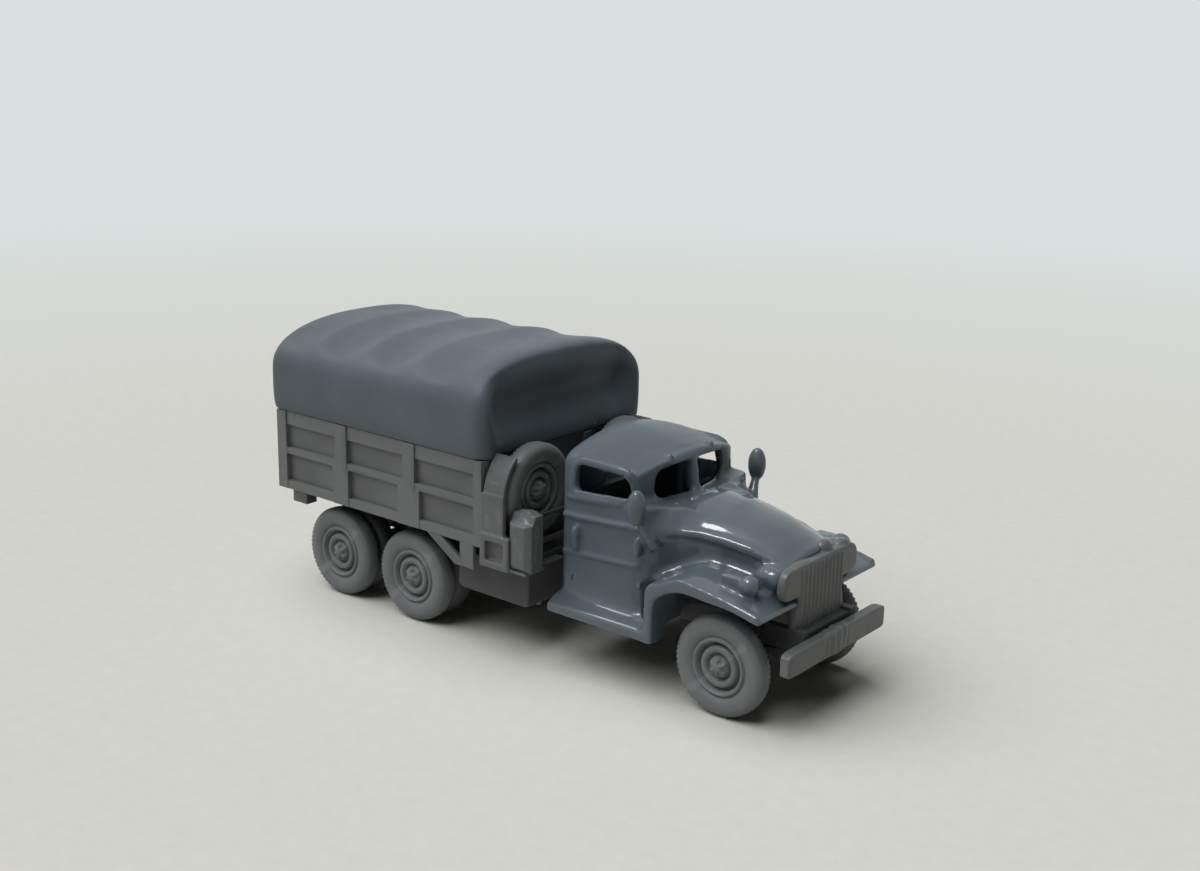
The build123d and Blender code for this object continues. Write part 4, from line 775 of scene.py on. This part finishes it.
# half of the beam's sections: y, how far its edges have drawn in, and how far its top has dropped
BEAM_ROWS = ((8.2, 0.22, 0.3), (8.1, 0.08, 0.2), (7.9, 0.02, 0.1), (7.2, 0.0, 0.0), (2.0, 0.0, 0.0))
# the rope's turns: middle, how far it stands out, and its lean
TURNS = ((-1.9, 0.0, 0.1), (-1.0, 0.1, -0.12), (-0.1, 0.14, 0.1), (0.8, 0.08, 0.16), (1.7, 0.0, -0.1))
# a turn's sections: place from its middle, and how far it has drawn in
TURN_ROWS = ((-0.52, 0.2), (-0.3, 0.05), (0.0, 0.0), (0.3, 0.05), (0.52, 0.2))


def guard():
    """A bent plate with upright ribs on its face."""
    left = tuple((-y, z, r) for y, z, r in reversed(GUARD_CORNERS))
    outline = bent(GUARD_CORNERS + left)
    plate = Soup().rings([[(x, p.x, p.y) for p in outline] for x in (GUARD_BACK, GUARD_FACE)])
    soup = soup_of(skin("guard_plate", plate, voxel=0.1, smooth=36))
    for y in np.linspace(-3.3, 3.3, 11):
        soup.block(RIB_BACK, RIB_FACE, y - RIB_HALF, y + RIB_HALF, 7.62, 13.45)
    for centre, radii in GUARD_LUMPS:
        soup.egg(centre, radii)
    obj = skin("brush_guard", soup, voxel=0.075, smooth=3)
    thinned(obj, coords(obj)[:, 0] < 28.2, 0.6)
    finish_piece(obj, "truck", SATIN, "resin_satin", "guard")


def squared(half_x, half_z, y, z_mid, power, sides, swell, lean=0.0):
    """A rounded-square ring about the bumper; lean shifts it sideways with height."""
    ring = []
    for j in range(sides):
        a = 2 * math.pi * j / sides
        c, s = math.cos(a), math.sin(a)
        x = BUMPER_X + (half_x + swell) * math.copysign(abs(c) ** power, c)
        z = z_mid + (half_z + swell) * math.copysign(abs(s) ** power, s)
        ring.append((x, y + lean * (z - z_mid), z))
    return ring


def bumper():
    """A beam with softened ends, and a rope wound about its middle."""
    rows = BEAM_ROWS + tuple((-y, drawn, drop) for y, drawn, drop in reversed(BEAM_ROWS))
    sections = []
    for y, drawn, drop in rows:
        ring = squared(0.55, 1.075, y, BEAM_Z, 0.22, 48, -drawn)
        sections.append([(x, y, z - (drop if z > TURNS_Z else 0.0)) for x, _, z in ring])
    obj = edged("bumper_beam", Soup().rings(sections), width=0.02, segments=1)
    finish_piece(obj, "truck", SATIN, "resin_satin", "bumper")
    wraps = Soup()
    for y, grow, lean in TURNS:
        wraps.rings([squared(0.62, 1.16, y + along, TURNS_Z, 0.55, 28, grow - drawn, lean)
                     for along, drawn in TURN_ROWS])
    obj = skin("bumper_turns", wraps, voxel=0.09, smooth=9)
    finish_piece(obj, "truck", SATIN, "resin_satin", "bumper_wraps")


# ---------------------------------------------------------------- bed and load
# a solid's face, at its distance from the middle, and the deeper place it gets here
PANEL_Y, DEEP_PANEL_Y = 11.7, 11.5
RECESS_Y, DEEP_RECESS_Y = 11.75, 11.62
FACE_SLACK, BED_EDGE = 0.02, 0.09
CAN_FRONT, CAN_INNER_Y = 4.85, 9.5
# ridges of the can's handles on its step: y and z
CAN_RIDGES = ((-11.35, 13.95), (-10.95, 14.3), (-10.55, 14.6))


def sunken(soup, face_y, deep_y):
    """Moves the points of the faces at one distance from the middle to another."""
    soup.verts = [(x, math.copysign(deep_y, y) if abs(abs(y) - face_y) < FACE_SLACK else y, z)
                  for x, y, z in soup.verts]
    return soup


def bed():
    """The bed's walls; the side panels lie deeper than the solid's, so that posts and rails stand out."""
    for side, _ in SIDES:
        soup = sunken(Soup().nodes(f"bed_side_{side}"), PANEL_Y, DEEP_PANEL_Y)
        obj = edged(f"bed_side_{side}_soft", soup, BED_EDGE)
        finish_piece(obj, "truck", SATIN, "resin_satin", f"bed_side_{side}")
    for name in ("tailgate", "bed_headboard", "bed_brackets"):
        obj = edged(f"{name}_soft", Soup().nodes(name), BED_EDGE)
        finish_piece(obj, "truck", SATIN, "resin_satin", name)


def tanks():
    """The fuel tanks with their drain plugs, and the spares' carrier over them."""
    tank = edged("fuel_tanks_soft", Soup().nodes("fuel_tanks"), width=0.22, segments=4)
    plugs = Soup().tube([(2.7, -8.0, 5.3), (2.7, -8.0, 4.8)], 0.28, across=(1, 0, 0)).mirror()
    finish_piece(edged("drain_plugs", plugs, width=0.06, segments=2), "truck", SATIN, "resin_satin")
    # the tanks and the carrier take the darker resin: painted shade under the bed
    finish_piece(tank, "truck", UNDER_PAINTED_SHADE, "resin_satin", "fuel_tanks")
    obj = edged("spare_carrier_soft", Soup().nodes("spare_carrier"), width=0.08, segments=2)
    finish_piece(obj, "truck", UNDER_PAINTED_SHADE, "resin_satin", "spare_carrier")


def cans():
    """The cans, reaching a little farther forward and inboard than the solids."""
    soup = Soup().nodes("jerrycans")
    far = max(v[0] for v in soup.verts)
    near = min(v[0] for v in soup.verts)
    outer = max(v[1] for v in soup.verts)
    inner = min(abs(v[1]) for v in soup.verts)
    longer, wider = (CAN_FRONT - near) / (far - near), (outer - CAN_INNER_Y) / (outer - inner)
    soup.verts = [(near + (x - near) * longer, math.copysign(outer - (outer - abs(y)) * wider, y), z)
                  for x, y, z in soup.verts]
    # the crowned top, inboard, and the ridges
    tops = Soup().egg((3.28, -10.0, 14.35), (1.05, 0.72, 0.5))
    for y, z in CAN_RIDGES:
        tops.tube([(2.5, y, z), (2.8, y + 0.03, z + 0.2), (3.7, y + 0.03, z + 0.2), (4.05, y, z)], 0.16)
    obj = skin("jerrycans_soft", soup.join(tops.mirror()), voxel=0.09, smooth=7, fillet=0.12, keep=0.7)
    finish_piece(obj, "truck", SATIN, "resin_satin", "jerrycans")


def racks():
    """The side racks, with the square ring's recess a little deeper than the solid's."""
    soup = sunken(Soup().nodes("side_racks"), RECESS_Y, DEEP_RECESS_Y)
    obj = skin("side_racks_soft", soup, voxel=0.08, smooth=6, fillet=0.1, keep=0.6)
    finish_piece(obj, "truck", SATIN, "resin_satin", "side_racks")


def paint_kept():
    """Paints the nodes that stay in sight as they are, all of them underneath, in the darker resin that stands
    for painted shade.
    """
    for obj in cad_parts.values():
        if obj.data.materials:
            for slot in obj.material_slots:
                slot.material = UNDER_PAINTED_SHADE
        else:
            obj.data.materials.append(UNDER_PAINTED_SHADE)


# ---------------------------------------------------------------- stage, light and camera, in metres
FLOOR_HALF = 12.0
# the floor fades into the backdrop between these distances
FADE_START, FADE_END = 0.05, 0.4
BACKDROP = (0.70, 0.75, 0.75, 1.0)
AMBIENT, AMBIENT_STRENGTH = (0.9, 0.96, 1.0, 1.0), 0.03
SKY_PLACE, SKY_POWER, SKY_ANGLE, SKY_COLOUR = (-0.38, -0.3, 1.0), 3.2, 72, (0.95, 0.98, 1.0)
PANEL_TARGET = (0.01, 0, 0.015)
# panels that only give the wet edges their streaks: name, place, size, power
PANELS = (
    ("crease_panel", (-0.06, -0.19, 0.39), (0.12, 0.15), 1.2),
    ("board_panel", (-0.24, -0.09, 0.36), (0.08, 0.10), 0.22),
)
CAMERA_PLACE = (0.0910445, -0.1091511, 0.0578448)
CAMERA_AZIMUTH, CAMERA_DROP, CAMERA_ROLL = 38.793, 15.116, 1.2918  # degrees
LENS, SENSOR = 45.04, 36.0  # in millimetres


def stage():
    """A plain pale floor."""
    mesh = bpy.data.meshes.new("floor")
    corners = [(-FLOOR_HALF, -FLOOR_HALF, 0), (FLOOR_HALF, -FLOOR_HALF, 0), (FLOOR_HALF, FLOOR_HALF, 0),
               (-FLOOR_HALF, FLOOR_HALF, 0)]
    mesh.from_pydata(corners, [], [(0, 1, 2, 3)])
    floor = bpy.data.objects.new("floor", mesh)
    SCENE.collection.objects.link(floor)
    mat = bpy.data.materials.new("floor_pale")
    graph = Graph(mat, empty=False)
    place = graph.add("ShaderNodeTexCoord").outputs["Object"]
    speckle = graph.noise(place, 700.0, 4.0)
    reach = graph.add("ShaderNodeVectorMath", {0: place}, operation="LENGTH").outputs["Value"]
    graph.feed(graph.nodes["Principled BSDF"], {
        "Base Color": graph.mix(speckle, (0.68, 0.655, 0.60, 1.0), (0.75, 0.725, 0.67, 1.0)),
        "Roughness": 0.9,
        "Specular IOR Level": 0.05,
        "Alpha": graph.spread(reach, FADE_START, FADE_END, 1.0, 0.0, "SMOOTHSTEP"),
    })
    mesh.materials.append(mat)


def lamp(name, kind, place, target, power):
    """A light at a place, aimed at another."""
    data = bpy.data.lights.new(name, kind)
    data.energy = power
    obj = bpy.data.objects.new(name, data)
    SCENE.collection.objects.link(obj)
    obj.location = place
    obj.rotation_euler = (Vector(target) - Vector(place)).to_track_quat("-Z", "Y").to_euler()
    return obj


def backdrop():
    """A faint ambient light, with a pale backdrop for what the camera sees and what mirrors it."""
    world = bpy.data.worlds.new("studio")
    SCENE.world = world
    graph = Graph(world)
    ray = graph.add("ShaderNodeLightPath").outputs
    seen_directly = graph.math("MAXIMUM", ray["Is Camera Ray"], ray["Is Transmission Ray"])
    seen = graph.math("MAXIMUM", seen_directly, ray["Is Glossy Ray"])
    ambient = graph.add("ShaderNodeBackground", {"Color": AMBIENT, "Strength": AMBIENT_STRENGTH})
    pale = graph.add("ShaderNodeBackground", {"Color": BACKDROP, "Strength": 1.0})
    either = {"Fac": seen, 1: ambient.outputs["Background"], 2: pale.outputs["Background"]}
    graph.add("ShaderNodeOutputWorld", {"Surface": graph.add("ShaderNodeMixShader", either).outputs["Shader"]})


def light():
    """A soft sky, and the panels that the wet edges mirror."""
    # broad sky from above and behind, which sets the soft shadows
    sky = lamp("sky_panel", "SUN", SKY_PLACE, (0, 0, 0), SKY_POWER)
    sky.data.angle = math.radians(SKY_ANGLE)
    sky.data.color = SKY_COLOUR
    sky.visible_glossy = False
    for name, place, size, power in PANELS:
        panel = lamp(name, "AREA", place, PANEL_TARGET, power)
        panel.data.shape = "RECTANGLE"
        panel.data.size, panel.data.size_y = size
        panel.visible_diffuse = False


def camera():
    """The camera, to the front right of the truck and a little above it."""
    az, drop, roll = math.radians(CAMERA_AZIMUTH), math.radians(CAMERA_DROP), math.radians(CAMERA_ROLL)
    ahead = Vector((-math.sin(az) * math.cos(drop), math.cos(az) * math.cos(drop), -math.sin(drop)))
    right = Vector((math.cos(az), math.sin(az), 0.0))
    up = right.cross(ahead)
    x_axis = right * math.cos(roll) + up * math.sin(roll)
    y_axis = up * math.cos(roll) - right * math.sin(roll)
    data = bpy.data.cameras.new("camera")
    obj = bpy.data.objects.new("camera", data)
    SCENE.collection.objects.link(obj)
    turn = Matrix((x_axis, y_axis, -ahead)).transposed()
    obj.matrix_world = Matrix.Translation(CAMERA_PLACE) @ turn.to_4x4()
    data.lens = LENS
    data.sensor_width = SENSOR
    data.sensor_fit = "HORIZONTAL"
    data.clip_start = 0.002
    data.clip_end = 50.0
    SCENE.camera = obj


paint_kept()
camera()
stage()
backdrop()
light()
canopy()
wheels()
front_body()
guard()
bumper()
bed()
tanks()
cans()
racks()

SCENE.view_settings.view_transform = "Standard"
